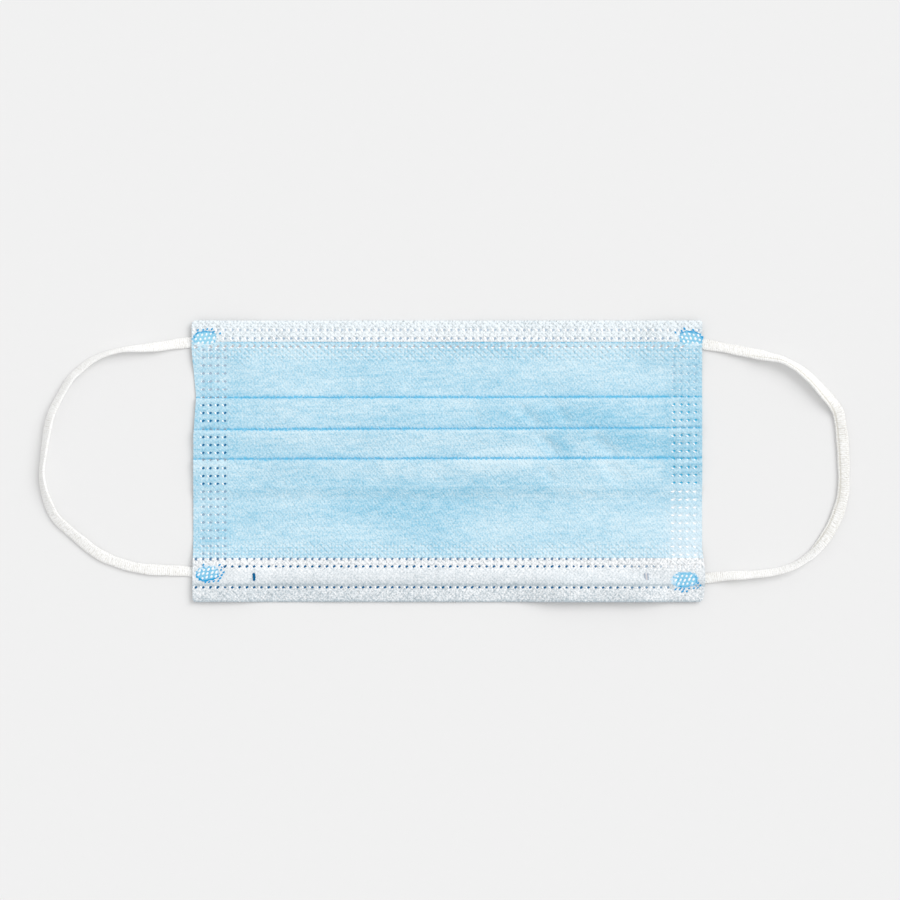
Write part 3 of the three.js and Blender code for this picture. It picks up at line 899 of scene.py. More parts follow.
def grains(tree, place, size, turn=0, detail=0.0, dimensions="2D"):
    """Noise whose grains have the given sizes in metres along X, Y and Z, turned by degrees."""
    space = add(tree, "Mapping", {"Vector": place, "Scale": size,
                                  "Rotation": (0, 0, math.radians(turn))}, vector_type="TEXTURE")
    return add(tree, "TexNoise", {"Vector": space, "Scale": 1.0, "Detail": detail},
               noise_dimensions=dimensions)


def even_grain(tree, size, detail=1.0):
    """Even noise on Object coordinates whose grain has the given size in metres."""
    return add(tree, "TexNoise", {"Vector": add(tree, "TexCoord", output="Object"),
                                  "Scale": 1 / size, "Detail": detail})


def lattice(tree, x, y, pitch_x, pitch_y):
    """A wave that is 1 at points set pitch_x and pitch_y apart with one more in the middle of each
    four, and -1 half way between them along X and along Y: the product of two cosines."""
    waves = [add(tree, "Math", {0: total(tree, 0.0, (socket, 2 * math.pi / pitch))},
                 operation="COSINE") for socket, pitch in ((x, pitch_x), (y, pitch_y))]
    return total(tree, 0.0, waves)


def spunbond(tree, lesser_pins, rib_side):
    """The pattern of a spunbond web, from its UV map in metres, as values from 0 to 1: clouds and
    bands of close-lying fibre, fibre streaks that cross at a steep angle, the points where hot rollers
    bond the web, and the pins that quilt all plies together near the hems. lesser_pins is how
    strong the pins half way between the main ones are. ribs is the slanting wave that the pins
    pull the cloth into, from -1 to 1. rib_side is -1 where the UV map runs the other way."""
    uv = add(tree, "UVMap", uv_map="cloth")
    # The real fibres are about 0.02 mm thick, too fine to show, so the streaks and the fuzz are
    # drawn as bundles some 0.6 mm wide.
    web = {name: grains(tree, uv, size, turn) for name, size, turn in (
        ("clouds", (0.030, 0.0095, 1), 3),
        ("wisps", (0.0052, 0.00125, 1), 3),
        ("fall", (0.0034, 0.00058, 1), -50),
        ("climb", (0.0026, 0.00058, 1), 50),
        ("fuzz", (0.00060, 0.00052, 1), 0))}
    streaks = add(tree, "Math", {0: web["fall"], 1: web["climb"]}, operation="MAXIMUM")
    # The bonded points lie in a lattice of 1.575 by 2.584 mm. The quilting pins lie in one of
    # 2.378 by 2.312 mm, with lighter pins half way between.
    x, y = (add(tree, "SeparateXYZ", {"Vector": uv}, output=axis) for axis in "XY")
    bonded, quilted = (lattice(tree, x, y, *pitches) for pitches in (
        (0.001575, 0.002584), (0.002378, 0.002312)))
    bonds, pins, lighter = (
        add(tree, "MapRange", {"Value": wave, "From Min": low, "From Max": high}, **STEP)
        for wave, low, high in ((bonded, 0.2, 0.85), (quilted, 0.35, 0.9),
                                (quilted, -0.35, -0.9)))
    pins = total(tree, pins, (lighter, lesser_pins))
    # The pins pull the cloth into ribs 2.37 mm apart along X and 2.06 mm apart along Y.
    across = total(tree, x, (y, rib_side * 2.37 / 2.06))
    ribs = add(tree, "Math", {0: total(tree, 0.0, (across, 2 * math.pi / 0.00237))},
               operation="SINE")
    emboss, sunk = (add(tree, "Attribute", attribute_name=name, output="Fac")
                    for name in ("emboss", "sunk"))
    return SimpleNamespace(**web, streaks=streaks, bonds=bonds, sunk=sunk,
                           pins=total(tree, 0.0, (pins, emboss)),
                           ribs=total(tree, 0.0, (ribs, emboss)))


def blue_spunbond(colours):
    """Polypropylene spunbond, dyed pale blue: a matt felt of melted fibres. It is cloudy where the
    fibres lie close, faintly streaked along them, dotted where rollers bonded it, and darker and
    purer in colour along a pressed fold, partly from the doubled cloth and partly as painted shade
    in the crease. Where it is fused thin it pales to the white behind it."""
    material, tree = new_material("polypropylene_spunbond_blue", Roughness=0.8, IOR=1.49,
                                  Sheen_Weight=0.1, Sheen_Roughness=0.5)
    web = spunbond(tree, 0.6, 1)
    # The density attribute holds painted shade, and a painted highlight below each pleat's edge, as well as
    # denser web.
    density_and_shade, thin, fold = (add(tree, "Attribute", attribute_name=name, output="Fac")
                         for name in ("density_and_shade", "thin", "fold"))
    density = swaying(tree, 0.38, (web.clouds, 0.52), (web.wisps, 0.46), (web.streaks, 0.4),
                      (web.fuzz, 0.8), (web.bonds, 0.1))
    density = total(tree, density, (web.pins, -0.22), (web.ribs, -0.10), (density_and_shade, 1.0))
    cloth = add(tree, "Mix", {0: density, 6: colours.blue_pale, 7: colours.blue_deep}, **BLEND)
    for whitened in (total(tree, 0.0, (web.pins, 0.22)), thin):
        cloth = add(tree, "Mix", {0: whitened, 6: cloth, 7: colours.white_pale}, **BLEND)
    # The fold's colour, partly the doubled cloth and partly painted shade in the crease, reaches
    # about 0.3 mm each way, with a ragged edge of fibres.
    away = add(tree, "Math", {0: fold}, operation="ABSOLUTE")
    ragged = swaying(tree, 0.0, (web.streaks, 0.0013), (web.fuzz, 0.0010))
    near_fold = add(tree, "MapRange", {"Value": total(tree, ragged, (away, 1.0)),
                                       "From Min": 0.00084, "From Max": 0.0002}, **STEP)
    shown = add(tree, "Mix", {0: total(tree, 0.0, (near_fold, 0.76)), 6: cloth,
                              7: colours.blue_fold_and_crease_shade}, **BLEND)
    height = swaying(tree, 0.0, (web.streaks, 0.10), (web.fall, 0.07), (web.fuzz, 0.11),
                     (web.wisps, 0.08), (web.bonds, -0.04))
    height = total(tree, height, (web.sunk, -0.15), (web.pins, -0.10), (web.ribs, -0.05))
    return finished(material, shown, height)


def white_spunbond(colours):
    """Polypropylene spunbond, undyed: the same web as the blue ply's, white with grey between
    its fibres, and a trace of the blue ply showing through where that lies close behind."""
    material, tree = new_material("polypropylene_spunbond_white", Roughness=0.8, IOR=1.49,
                                  Sheen_Weight=0.1, Sheen_Roughness=0.5)
    web = spunbond(tree, 0.7, -1)
    # The density attribute holds painted shade in the pocket, in the crease below the wire and at the nose
    # edge, as well as greyer web.
    contrast, density_and_shade, backed = (add(tree, "Attribute", attribute_name=name, output="Fac")
                               for name in ("fibrous", "density_and_shade", "backed"))
    density = swaying(tree, 0.0, (web.clouds, 0.3), (web.wisps, 0.35), (web.streaks, 1.1),
                      (web.fuzz, 1.3), (web.pins, 0.12), (web.ribs, 0.14))
    density = total(tree, density_and_shade, (density, contrast))
    shown = add(tree, "Mix", {0: density, 6: colours.white_pale, 7: colours.white_deep}, **BLEND)
    shown = add(tree, "Mix", {0: total(tree, 0.0, (backed, 0.3)), 6: shown,
                              7: colours.blue_pale}, **BLEND)
    height = swaying(tree, 0.0, (web.streaks, 0.12), (web.fall, 0.34), (web.fuzz, 0.2),
                     (web.bonds, -0.03))
    height = total(tree, 0.0, (height, contrast), (web.sunk, -0.15), (web.pins, -0.13),
                   (web.ribs, -0.05))
    return finished(material, shown, height)


def weld_film(name, colours, clearest):
    """Polypropylene melted to a thin film by the welding horn: smooth and slightly glossy. It takes
    the clearest colour where the blue shows through best, is slate where light passes it, is
    warmer beside a fold, and is whitened round its rim, where the cloth was drawn into the weld.
    The same white paints the highlights on the ovals beside the films."""
    material, tree = new_material(name, Roughness=0.45, IOR=1.49, Specular_IOR_Level=0.08)
    tone, rim = (add(tree, "Attribute", attribute_name=name, output="Fac")
                 for name in ("tone", "rim"))
    tone = total(tree, swaying(tree, 0.0, (even_grain(tree, 0.0012), 0.3)), (tone, 1.0))
    shown = add(tree, "Mix", {0: tone, 6: colours.film_grey, 7: clearest}, **BLEND)
    for amount, colour in ((total(tree, 0.0, (tone, -1.0)), colours.film_warm),
                           (rim, colours.film_white_and_highlight)):
        shown = add(tree, "Mix", {0: amount, 6: shown, 7: colour}, **BLEND)
    return finished(material, shown)


def loop_weld_film(colours):
    """The same film over the end of a loop: blotched pale blue, deep blue round its rim, and white
    on the points where the knurled horn raised the elastic."""
    material, tree = new_material("polypropylene_loop_weld", Roughness=0.45, IOR=1.49,
                                  Specular_IOR_Level=0.3)
    tone, rim = (add(tree, "Attribute", attribute_name=name, output="Fac")
                 for name in ("tone", "rim"))
    tone = total(tree, swaying(tree, 0.0, (even_grain(tree, 0.0008, 2.0), 1.1)), (tone, 1.0))
    shown = add(tree, "Mix", {0: tone, 6: colours.pad_pale, 7: colours.pad_deep}, **BLEND)
    shown = add(tree, "Mix", {0: rim, 6: shown, 7: colours.film_white_and_highlight}, **BLEND)
    return finished(material, shown, swaying(tree, 0.0, (even_grain(tree, 0.0005), 0.08)))


def knitted_elastic(colours):
    """Knitted nylon over elastane: a soft white band with fine uneven ribs across it, 0.7 mm apart,
    a fuzz of loose filaments, and a painted warm shade in the groove beside its rolled edge and
    where it lies flat."""
    material, tree = new_material("knitted_elastic_white", Roughness=0.9, IOR=1.5,
                                  Sheen_Weight=0.25, Sheen_Roughness=0.6)
    uv = add(tree, "UVMap", uv_map="cloth")
    stitches, fuzz, blotches = (grains(tree, uv, size, turn, detail=2.0) for size, turn in (
        ((0.0011, 0.00042, 1), 12), ((0.0005, 0.0005, 1), 0), ((0.0030, 0.0060, 1), 0)))
    # A wave texture has a band every 2 pi / 20 of its scaled coordinate.
    ribs = add(tree, "TexWave", {"Vector": uv, "Scale": 2 * math.pi / 0.0007 / 20,
                                 "Distortion": 6.0, "Detail": 2.0, "Detail Scale": 2.0},
               output="Fac", bands_direction="Y")
    # Painted shade: warmer and darker in the groove beside the rolled edge and where the band lies flat.
    painted_elastic_shade = add(tree, "Attribute", attribute_name="painted_elastic_shade", output="Fac")
    tone = swaying(tree, 0.05, (stitches, 1.0), (fuzz, 1.1), (blotches, 0.5), (ribs, 0.5))
    tone = total(tree, tone, (painted_elastic_shade, 1.1))
    warm = np.array(colours.elastic) * (0.74, 0.72, 0.67, 1.0)
    shown = add(tree, "Mix", {0: tone, 6: colours.elastic, 7: warm}, **BLEND)
    return finished(material, shown,
                    swaying(tree, 0.0, (ribs, 0.04), (stitches, 0.24), (fuzz, 0.2)))


def coated_wire(colours):
    """Soft steel wires in a polyethylene strip: satin, with faint marks of the extruder along it."""
    material, tree = new_material("polyethylene_coated_wire", Roughness=0.45, IOR=1.51)
    drawn = grains(tree, add(tree, "TexCoord", output="Object"), (0.02, 0.0003, 0.0003),
                   detail=2.0, dimensions="3D")
    marked = np.array(colours.coating) * 0.93
    return finished(material, add(tree, "Mix", {0: drawn, 6: colours.coating, 7: marked}, **BLEND))


def seamless_paper(colours):
    """Studio paper: even and matt, with a trace of its pulp. The real pulp is too fine to show, so
    it is drawn 4 mm across."""
    material, tree = new_material("seamless_paper", Roughness=0.95, Specular_IOR_Level=0.1)
    pulpy = np.array(colours.paper) * 0.99
    return finished(material, add(tree, "Mix", {0: even_grain(tree, 0.004, 4.0),
                                                6: colours.paper, 7: pulpy}, **BLEND))


# ---- Operators


class FACEMASK_OT_stage(Operator):
    """Set out the paper, the light and the camera straight above the mask"""

    bl_idname = "facemask.stage"
    bl_label = "Stage"

    def execute(self, context):
        settings = context.scene.face_mask
        stage = settings.stage
        scene = context.scene
        scene.view_settings.view_transform = "Standard"
        half, drop = 3.0, 0.00002
        corners = [(half * x, half * y, -drop) for x, y in ((-1, -1), (1, -1), (1, 1), (-1, 1))]
        floor = new_mesh("paper_floor", corners, [(0, 1, 2, 3)])
        floor.data.materials.append(seamless_paper(settings.colours))

        world = bpy.data.worlds.new("even_light")
        world.use_nodes = True
        world.node_tree.nodes["Background"].inputs["Color"].default_value = (1, 1, 1, 1)
        world.node_tree.nodes["Background"].inputs["Strength"].default_value = stage.fill
        scene.world = world
        sun = bpy.data.lights.new("soft_sun", "SUN")
        sun.energy, sun.angle = stage.sun, stage.sun_angle
        lamp = bpy.data.objects.new("soft_sun", sun)
        lamp.rotation_mode = "QUATERNION"
        lamp.rotation_quaternion = Vector(stage.sun_from).to_track_quat("Z", "Y")
        scene.collection.objects.link(lamp)

        lens = bpy.data.cameras.new("camera")
        lens.lens = lens.sensor_width * stage.camera_height / stage.view_width
        lens.clip_start, lens.clip_end = 0.01, 20.0
        camera = bpy.data.objects.new("camera", lens)
        camera.location = (*stage.camera_over, stage.camera_height)
        scene.collection.objects.link(camera)
        scene.camera = camera
        return {"FINISHED"}


def through(route, count):
    """A smooth line through a route's rows, as evenly spaced rows: between two rows a cubic whose
    slope at each is half the difference of its neighbours."""
    rows = np.array(route)
    rows = np.concatenate([2 * rows[:1] - rows[1:2], rows, 2 * rows[-1:] - rows[-2:-1]])
    fine = np.linspace(0, len(route) - 1, 40 * len(route))
    span = np.minimum(fine.astype(int), len(route) - 2)
    at = (fine - span)[:, None]
    before, here, after, last = (rows[span + i] for i in range(4))
    line = here + at * 0.5 * (after - before) + at ** 2 * (
        before - 2.5 * here + 2 * after - 0.5 * last) + at ** 3 * (
        1.5 * (here - after) + 0.5 * (last - before))
    run = distances(line[:, :3])
    even = np.linspace(0, run[-1], count)
    return np.stack([np.interp(even, run, column) for column in line.T], axis=1), even


def elastic_tube(name, route, sizes, lying_flat_shade):
    """A flat elastic along its route.

    Its section is a rounded oval, whose thickness swells and narrows with the ribs of the knit and
    sinks in a groove beside its rolled inner edge where the route says. It is painted a warmer,
    darker shade in that groove and where it lies flat. It is turned about its line by the route's
    fourth column, pressed thin under the mask's corner, and raised where it would reach below the
    surface. Returns the piece, its centres and its length.
    """
    sides, clear = 48, 0.00001
    groove_at, groove_width = 0.62, 0.1
    line, run = through(route, sizes.rings)
    centres, turn, roll = line[:, :3], np.radians(line[:, 3])[:, None, None], line[:, 4:5]
    tangent = np.gradient(centres, axis=0)
    tangent /= np.linalg.norm(tangent, axis=1, keepdims=True)
    across = np.cross((0.0, 0.0, 1.0), tangent)
    across /= np.linalg.norm(across, axis=1, keepdims=True)
    up = np.cross(tangent, across)
    angle = angles_round(sides)
    wide, high = squarer(np.cos(angle), 0.7), squarer(np.sin(angle), 0.62)
    inner = sizes.inner_edge
    rib = 1 + 0.05 * np.cos(sizes.wales * math.pi * wide + math.pi * (sizes.wales % 2))
    rolled = sizes.groove * roll * bell(wide, inner * groove_at, groove_width)
    slack = 1 + 0.04 * np.sin(2 * math.pi * run / 0.023) + 0.03 * np.sin(2 * math.pi * run / 0.0087)
    flat = sizes.width / 2 * (wide * slack[:, None]
                              + 0.26 * inner * roll * np.clip(inner * wide, 0, 1))
    tall = sizes.thickness / 2 * high * (rib * np.ones((len(run), 1)) - rolled)
    # Painted shade where the band lies flat and faces the light; the groove beside the rolled edge gets
    # painted shade too.
    lying = lying_flat_shade * np.clip(np.cos(turn[:, :, 0]), 0, 1) ** 4
    painted_elastic_shade = np.append(rolled / sizes.groove * (high > 0) + lying, (0, 0))
    flat, tall = flat[:, :, None], tall[:, :, None]
    points = (centres[:, None]
              + (flat * np.cos(turn) - tall * np.sin(turn)) * across[:, None]
              + (flat * np.sin(turn) + tall * np.cos(turn)) * up[:, None])
    free = ramp(np.abs(centres[:, 0]), sizes.pressed_to, sizes.free_from - sizes.pressed_to)
    pressed = sizes.pressed + (1 - sizes.pressed) * free
    points[:, :, 2] *= pressed[:, None]
    raised = np.maximum(0, clear - points[:, :, 2].min(axis=1))
    points[:, :, 2] += raised[:, None]
    centres = centres.copy()
    centres[:, 2] = centres[:, 2] * pressed + raised
    around = np.abs(angle - math.pi) / math.pi * (sizes.width + sizes.thickness)
    uv = np.stack(np.broadcast_arrays(around[None, :], run[:, None]), axis=2).reshape(-1, 2)
    piece = tube(name, points, centres[[0, -1]], attributes={"painted_elastic_shade": painted_elastic_shade}, sharp=70,
                 uv=np.concatenate([uv, [[0, run[0]], [0, run[-1]]]]))
    return piece, centres, distances(centres)[-1]


class FACEMASK_OT_ear_loops(Operator):
    """Make the two flat elastic ear loops along their routes"""

    bl_idname = "facemask.ear_loops"
    bl_label = "Ear loops"

    def execute(self, context):
        settings = context.scene.face_mask
        sizes = settings.loops
        elastic = knitted_elastic(settings.colours)
        for side, route, lying_flat_shade in (("left", LEFT_ROUTE, sizes.left_lying_shade),
                                       ("right", RIGHT_ROUTE, sizes.right_lying_shade)):
            loop, centres, run = elastic_tube(f"{side}_loop_elastic", route, sizes, lying_flat_shade)
            ride(loop, elastic, "ear_loop", f"ear_loop_{side}")
            at_edge = centres[np.abs(centres[:, 0]).searchsorted(HALF_LENGTH)]
        return {"FINISHED"}


class FACEMASK_OT_nose_wire(Operator):
    """Make the coated wire in the pocket of the nose hem"""

    bl_idname = "facemask.nose_wire"
    bl_label = "Nose wire"

    def execute(self, context):
        settings = context.scene.face_mask
        wall = settings.wall
        sides, sections, thick, clear = 32, 160, 0.00046, 0.00003
        middle = (WIRE_LOW.y + WIRE_HIGH.y) / 2
        half = (WIRE_HIGH.y - WIRE_LOW.y) / 2
        bed = 2 * wall.ply + wall.ply_gap + clear
        # The section is a rounded strip that swells over its two steel wires.
        angle = angles_round(sides)
        across = squarer(np.cos(angle), 0.35)
        up = squarer(np.sin(angle), 0.35) * (0.8 + 0.2 * bell(np.abs(across), 0.55, 0.22))
        x = np.linspace(WIRE_LOW.x, WIRE_HIGH.x, sections)[:, None]
        y = middle + half * across * np.ones(x.shape)
        z = bed * press(x, wall) + thick / 2 * (1 + up) + rise(x, y)
        points = np.stack(np.broadcast_arrays(x, y, z), axis=2)
        wire = tube("nose_wire_strip", points, points[[0, -1]].mean(axis=1), sharp=50)
        ride(wire, coated_wire(settings.colours), "nose_wire", "nose_wire")
        return {"FINISHED"}


def films(name, surface, row_numbers, looks, highlight, wanted, welds, seed):
    """Glossy films in the craters of a grid and the painted highlights beside them, as one mesh.

    A film is an oval dish with a level middle, leaning as the horn's teeth do. It follows the slope
    between the crater's four rims. Beside it lies a painted highlight: a raised white oval on the
    wall of the crater that faces the light, placed by its X and Y from the film's middle, its half
    length and its direction in degrees. looks gives the tone of the films, how white they are from 0
    to 1, and the size of their highlights, each as one value a row or one for each film.
    """
    random = np.random.default_rng(seed)
    rows, cols = np.meshgrid(row_numbers, dot_columns(surface), indexing="ij")
    tone, bare, highlight_size = (
        np.broadcast_to(np.reshape(values, (len(row_numbers), -1)), rows.shape)[wanted]
        for values in looks)
    rows, cols = rows[wanted], cols[wanted]
    floor = surface[rows, cols]
    right, left, above, below = (surface[rows + i, cols + j]
                                 for i, j in ((0, 1), (0, -1), (1, 0), (-1, 0)))
    level = (right + left + above + below)[:, 2] / 4
    depth = level - floor[:, 2]
    slope_x = (right - left)[:, 2] / (right - left)[:, 0]
    slope_y = (above - below)[:, 2] / (above - below)[:, 1]
    count = len(floor)
    tone = np.clip(tone + random.normal(0, 0.07, count), -1, 1.3)
    size = random.uniform(0.9, 1.12, count) * (0.8 + 0.2 * np.clip(tone, 0, 1))
    lean = random.uniform(-0.6, 0.1, count)
    half_x, half_y = size * welds.film_width / 2, size * welds.film_height / 2
    turn = np.radians(random.normal(-20, 5, count))
    long_x, long_y = half_x * np.cos(turn), half_x * np.sin(turn)
    long_axis = np.stack([long_x, long_y, long_x * slope_x + long_y * slope_y], axis=1)
    short_axis = np.stack([half_y * lean, half_y, half_y * (slope_y + lean * slope_x)], axis=1)
    # The film's middle and rings lie these shares of the crater's depth below its rims.
    sunk, proud = np.array([0.46, 0.42, 0.34]), 0.00002
    rings = level[:, None] - floor[:, 2:] - depth[:, None] * sunk + proud

    # The white ovals beside the films are painted highlights, raised on the wall of each crater that faces
    # the light.
    highlight_short_half, highlight_scatter = 0.00025, 0.00004
    climb = -0.6 * depth / welds.half_width
    highlight_x, highlight_y, highlight_half, highlight_turn = highlight
    turn = np.radians(highlight_turn + random.normal(0, 8, count))
    highlight_half = highlight_half * highlight_size * random.uniform(0.8, 1.15, count)
    highlight_long = highlight_half[:, None] * np.stack(
        [np.cos(turn), np.sin(turn), slope_x + np.cos(turn) * climb], axis=1)
    highlight_short = highlight_short_half * highlight_size[:, None] * np.stack(
        [-np.sin(turn), np.cos(turn), slope_y - np.sin(turn) * climb], axis=1)
    highlight_middle = (floor + np.array([highlight_x, highlight_y, 0.0])
                  + random.normal(0, highlight_scatter, (count, 3)) * (1, 1, 0))
    highlight_rise = level - floor[:, 2] - 0.10 * depth + 0.00004 + highlight_x * slope_x + highlight_y * slope_y
    highlight_rings = highlight_rise[:, None] + np.array([0.00007, 0.00006, 0.00001])
    return small_ovals(
        name, np.concatenate([floor, highlight_middle]), np.concatenate([long_axis, highlight_long]),
        np.concatenate([short_axis, highlight_short]), (0.80, 1.0),
        np.concatenate([rings, highlight_rings]), np.concatenate([depth * 0.25, highlight_rise - 0.00006]),
        {"tone": np.concatenate([tone, tone])[:, None] * np.ones(4),
         # The painted highlights take the film's full white.
         "rim": np.concatenate([np.maximum(bare[:, None], (0.0, 0.0, 0.2, 0.6)),
                                np.ones((count, 4))])})


def crater_rows(line, wanted_rows):
    """The numbers of the grid's rows at the given places along Y, on the seen side."""
    away = np.abs(line["y"][None] - np.asarray(wanted_rows)[:, None])
    away[:, ~line["seen"]] = 1.0
    return away.argmin(axis=1)


class FACEMASK_OT_weld_dots(Operator):
    """Make the glossy films of the weld dots along the hems, down both sides and beside the wire"""

    bl_idname = "facemask.weld_dots"
    bl_label = "Weld dots"

    def execute(self, context):
        settings = context.scene.face_mask
        colours = settings.colours
        outer_line, (outer, _) = ply_grids(settings, "outer")
        inner_line, (_, inner) = ply_grids(settings, "inner")
        film = weld_film("polypropylene_weld_film", colours, colours.film_blue)
        deeper = weld_film("polypropylene_weld_film_deep", colours, colours.film_deep)
        lighter = weld_film("polypropylene_weld_film_light", colours, colours.film_light)
        left_looks, right_looks = self.side_looks()
        nose_looks = self.nose_looks(inner[0, dot_columns(inner), 0])
        chin_looks = (HEM_TONES[CHIN_HEM], (0.3, 0.4), (1.35, 1.35))
        border_looks = (HEM_TONES[BORDER], (0.3,), (0.9,))
        # The painted highlights beside the films, on the crater walls that face the light: X, Y, half
        # length, direction in degrees.
        steep, level = (-0.00076, -0.00004, 0.00046, -58), (-0.00050, -0.00030, 0.00056, -16)
        every = range(DOTS)
        for name, ply, rows, named, looks, highlight, material, seed in (
                ("nose_hem", "inner", HEM_Y[NOSE_HEM], every, nose_looks, steep, deeper, 3),
                ("chin_hem", "inner", HEM_Y[CHIN_HEM], every, chin_looks, steep, film, 5),
                ("chin_border", "outer", HEM_Y[BORDER], every, border_looks, level, film, 7),
                ("left_side", "outer", SIDE_ROWS, LEFT_COLUMNS, left_looks, steep, film, 11),
                ("right_side", "outer", SIDE_ROWS, RIGHT_COLUMNS, right_looks, level, lighter, 13)):
            surface, line = (outer, outer_line) if ply == "outer" else (inner, inner_line)
            numbers = crater_rows(line, rows)
            wanted = self.wanted(surface, numbers, named)
            dots = films(f"{name}_welds", surface, numbers, looks, highlight, wanted, settings.welds, seed)
            ride(dots, material, f"{ply}_ply")
        marks = self.marks(inner, crater_rows(inner_line, [MARK_ROW])[0])
        ride(marks, deeper, "inner_ply")
        return {"FINISHED"}

    @staticmethod
    def side_looks():
        """The tones, whiteness and painted highlight sizes of the films down the left and the right
        side, by their rows: over a folded pleat, right at its edge, nearer the chin, and elsewhere."""
        at_edge_reach, fold_reach = 0.0010, 0.0088
        below = np.array([pleat["edge"] for pleat in PLEATS])[:, None] - SIDE_ROWS
        at_edge = (np.abs(below) <= at_edge_reach).any(axis=0)
        over = ((below > at_edge_reach) & (below < fold_reach)).any(axis=0) & ~at_edge
        chin_side = SIDE_ROWS > PLEATS[-1]["edge"]
        left = (np.select([over, at_edge, chin_side], [1.3, -0.5, 0.45], 0.12),
                np.select([over, at_edge, chin_side], [0.0, 0.05, 0.25], 0.08),
                np.select([over, at_edge, chin_side], [1.0, 0.85, 0.65], 0.8))
        folded = over | at_edge
        right = (np.where(folded, 1.3, 0.6),
                 np.select([folded, chin_side], [0.0, 0.2], 0.65),
                 np.select([folded, chin_side], [0.9, 0.6], 1.1))
        return left, right

    @staticmethod
    def nose_looks(x):
        """The same for the three rows of the nose hem. Towards its right end the films lie ever
        lighter over each other."""
        fading, at_end = ramp(x, 0.040, 0.040), ramp(x, 0.0705, 0.006)
        paler, bare, whiter, white_end = (np.array(column)[:, None] for column in zip(
            (0.9, 0.0, 0.05, 0.0), (1.0, 0.0, 0.2, 0.5), (1.3, 0.05, 0.3, 0.6)))
        return (HEM_TONES[NOSE_HEM][:, None] - paler * fading,
                bare + whiter * fading + white_end * at_end, (1.0, 1.0, 1.0))

    @staticmethod
    def wanted(surface, numbers, named):
        """Which dots of each row there are: those in the named columns, clear of the loop welds
        and of the places where none were pressed."""
        film_clear = 1.2
        x, y, _ = np.moveaxis(surface[numbers][:, dot_columns(surface)], 2, 0)
        clear = in_loop_weld(x, y, film_clear) <= 0
        for from_x, to_x, from_y, to_y in NO_DOTS:
            clear &= ~((x > from_x) & (x < to_x) & (y > from_y) & (y < to_y))
        return clear & np.isin(np.arange(DOTS), named)

    @staticmethod
    def marks(surface, row):
        """The two marks, each in its trough: a dark upright strip at the left, and at the right a
        warm one between two blue ones. Each strip is three films, one above the other. Its row
        gives its trough, how far it lies from the trough's middle, its half width, its tone and
        how white it is."""
        pitch, half_height, lean, above = 0.0010 * 0.85, 0.00062, -0.15, 0.00006
        looks = np.array([
            (trough, aside, pitch * step, half, tone, bare)
            for trough, aside, half, tone, bare in (
                (0, 0.0, 0.00056, 1.3, 0.0), (1, 0.0, 0.00040, -1.0, 0.50),
                (1, -0.00050, 0.00024, 0.9, 0.40), (1, 0.00050, 0.00024, 0.9, 0.40))
            for step in (-1, 0, 1)])
        which, aside, over, half_x, tone, bare = looks.T
        columns_here = dot_columns(surface)[list(MARK_COLUMNS)][which.astype(int)]
        middles = surface[row, columns_here]
        level = surface[row, columns_here - 1, 2]
        middles[:, 0] += aside - 0.1 * over
        middles[:, 1] += over
        middles[:, 2] += 0.85 * (level - middles[:, 2]) + above + 0.00001 * np.arange(len(looks))
        none, half_y = np.zeros(len(looks)), np.full(len(looks), half_height)
        return small_ovals("wire_stop_marks", middles, np.stack([half_x, none, none], axis=1),
                           np.stack([lean * half_y, half_y, none], axis=1), (0.8, 1.0),
                           np.tile([0.00003, 0.00003, 0.0], (len(looks), 1)),
                           np.full(len(looks), -0.0002),
                           {"tone": tone[:, None] * np.ones(4), "rim": bare[:, None] * np.ones(4)})


def height_over(surface, x, y):
    """The height of a surface's points at places on it, from the six nearest of them, each
    weighted by the inverse of its squared distance."""
    low, high = (np.array([x.min(), y.min()]) - 0.003, np.array([x.max(), y.max()]) + 0.003)
    near = surface[((surface[:, :2] > low) & (surface[:, :2] < high)).all(axis=1)]
    away = (near[:, 0] - x.ravel()[:, None]) ** 2 + (near[:, 1] - y.ravel()[:, None]) ** 2
    nearest = np.argpartition(away, 6, axis=1)[:, :6]
    weight = 1 / (np.take_along_axis(away, nearest, axis=1) + 1e-8)
    return ((near[:, 2][nearest] * weight).sum(axis=1) / weight.sum(axis=1)).reshape(x.shape)


def on_mask(along, over, weld):
    """The X and Y of places given along and over a loop's weld."""
    turn = math.radians(weld.turn)
    return (weld.x + along * math.cos(turn) - over * math.sin(turn),
            weld.y + over * math.cos(turn) + along * math.sin(turn))


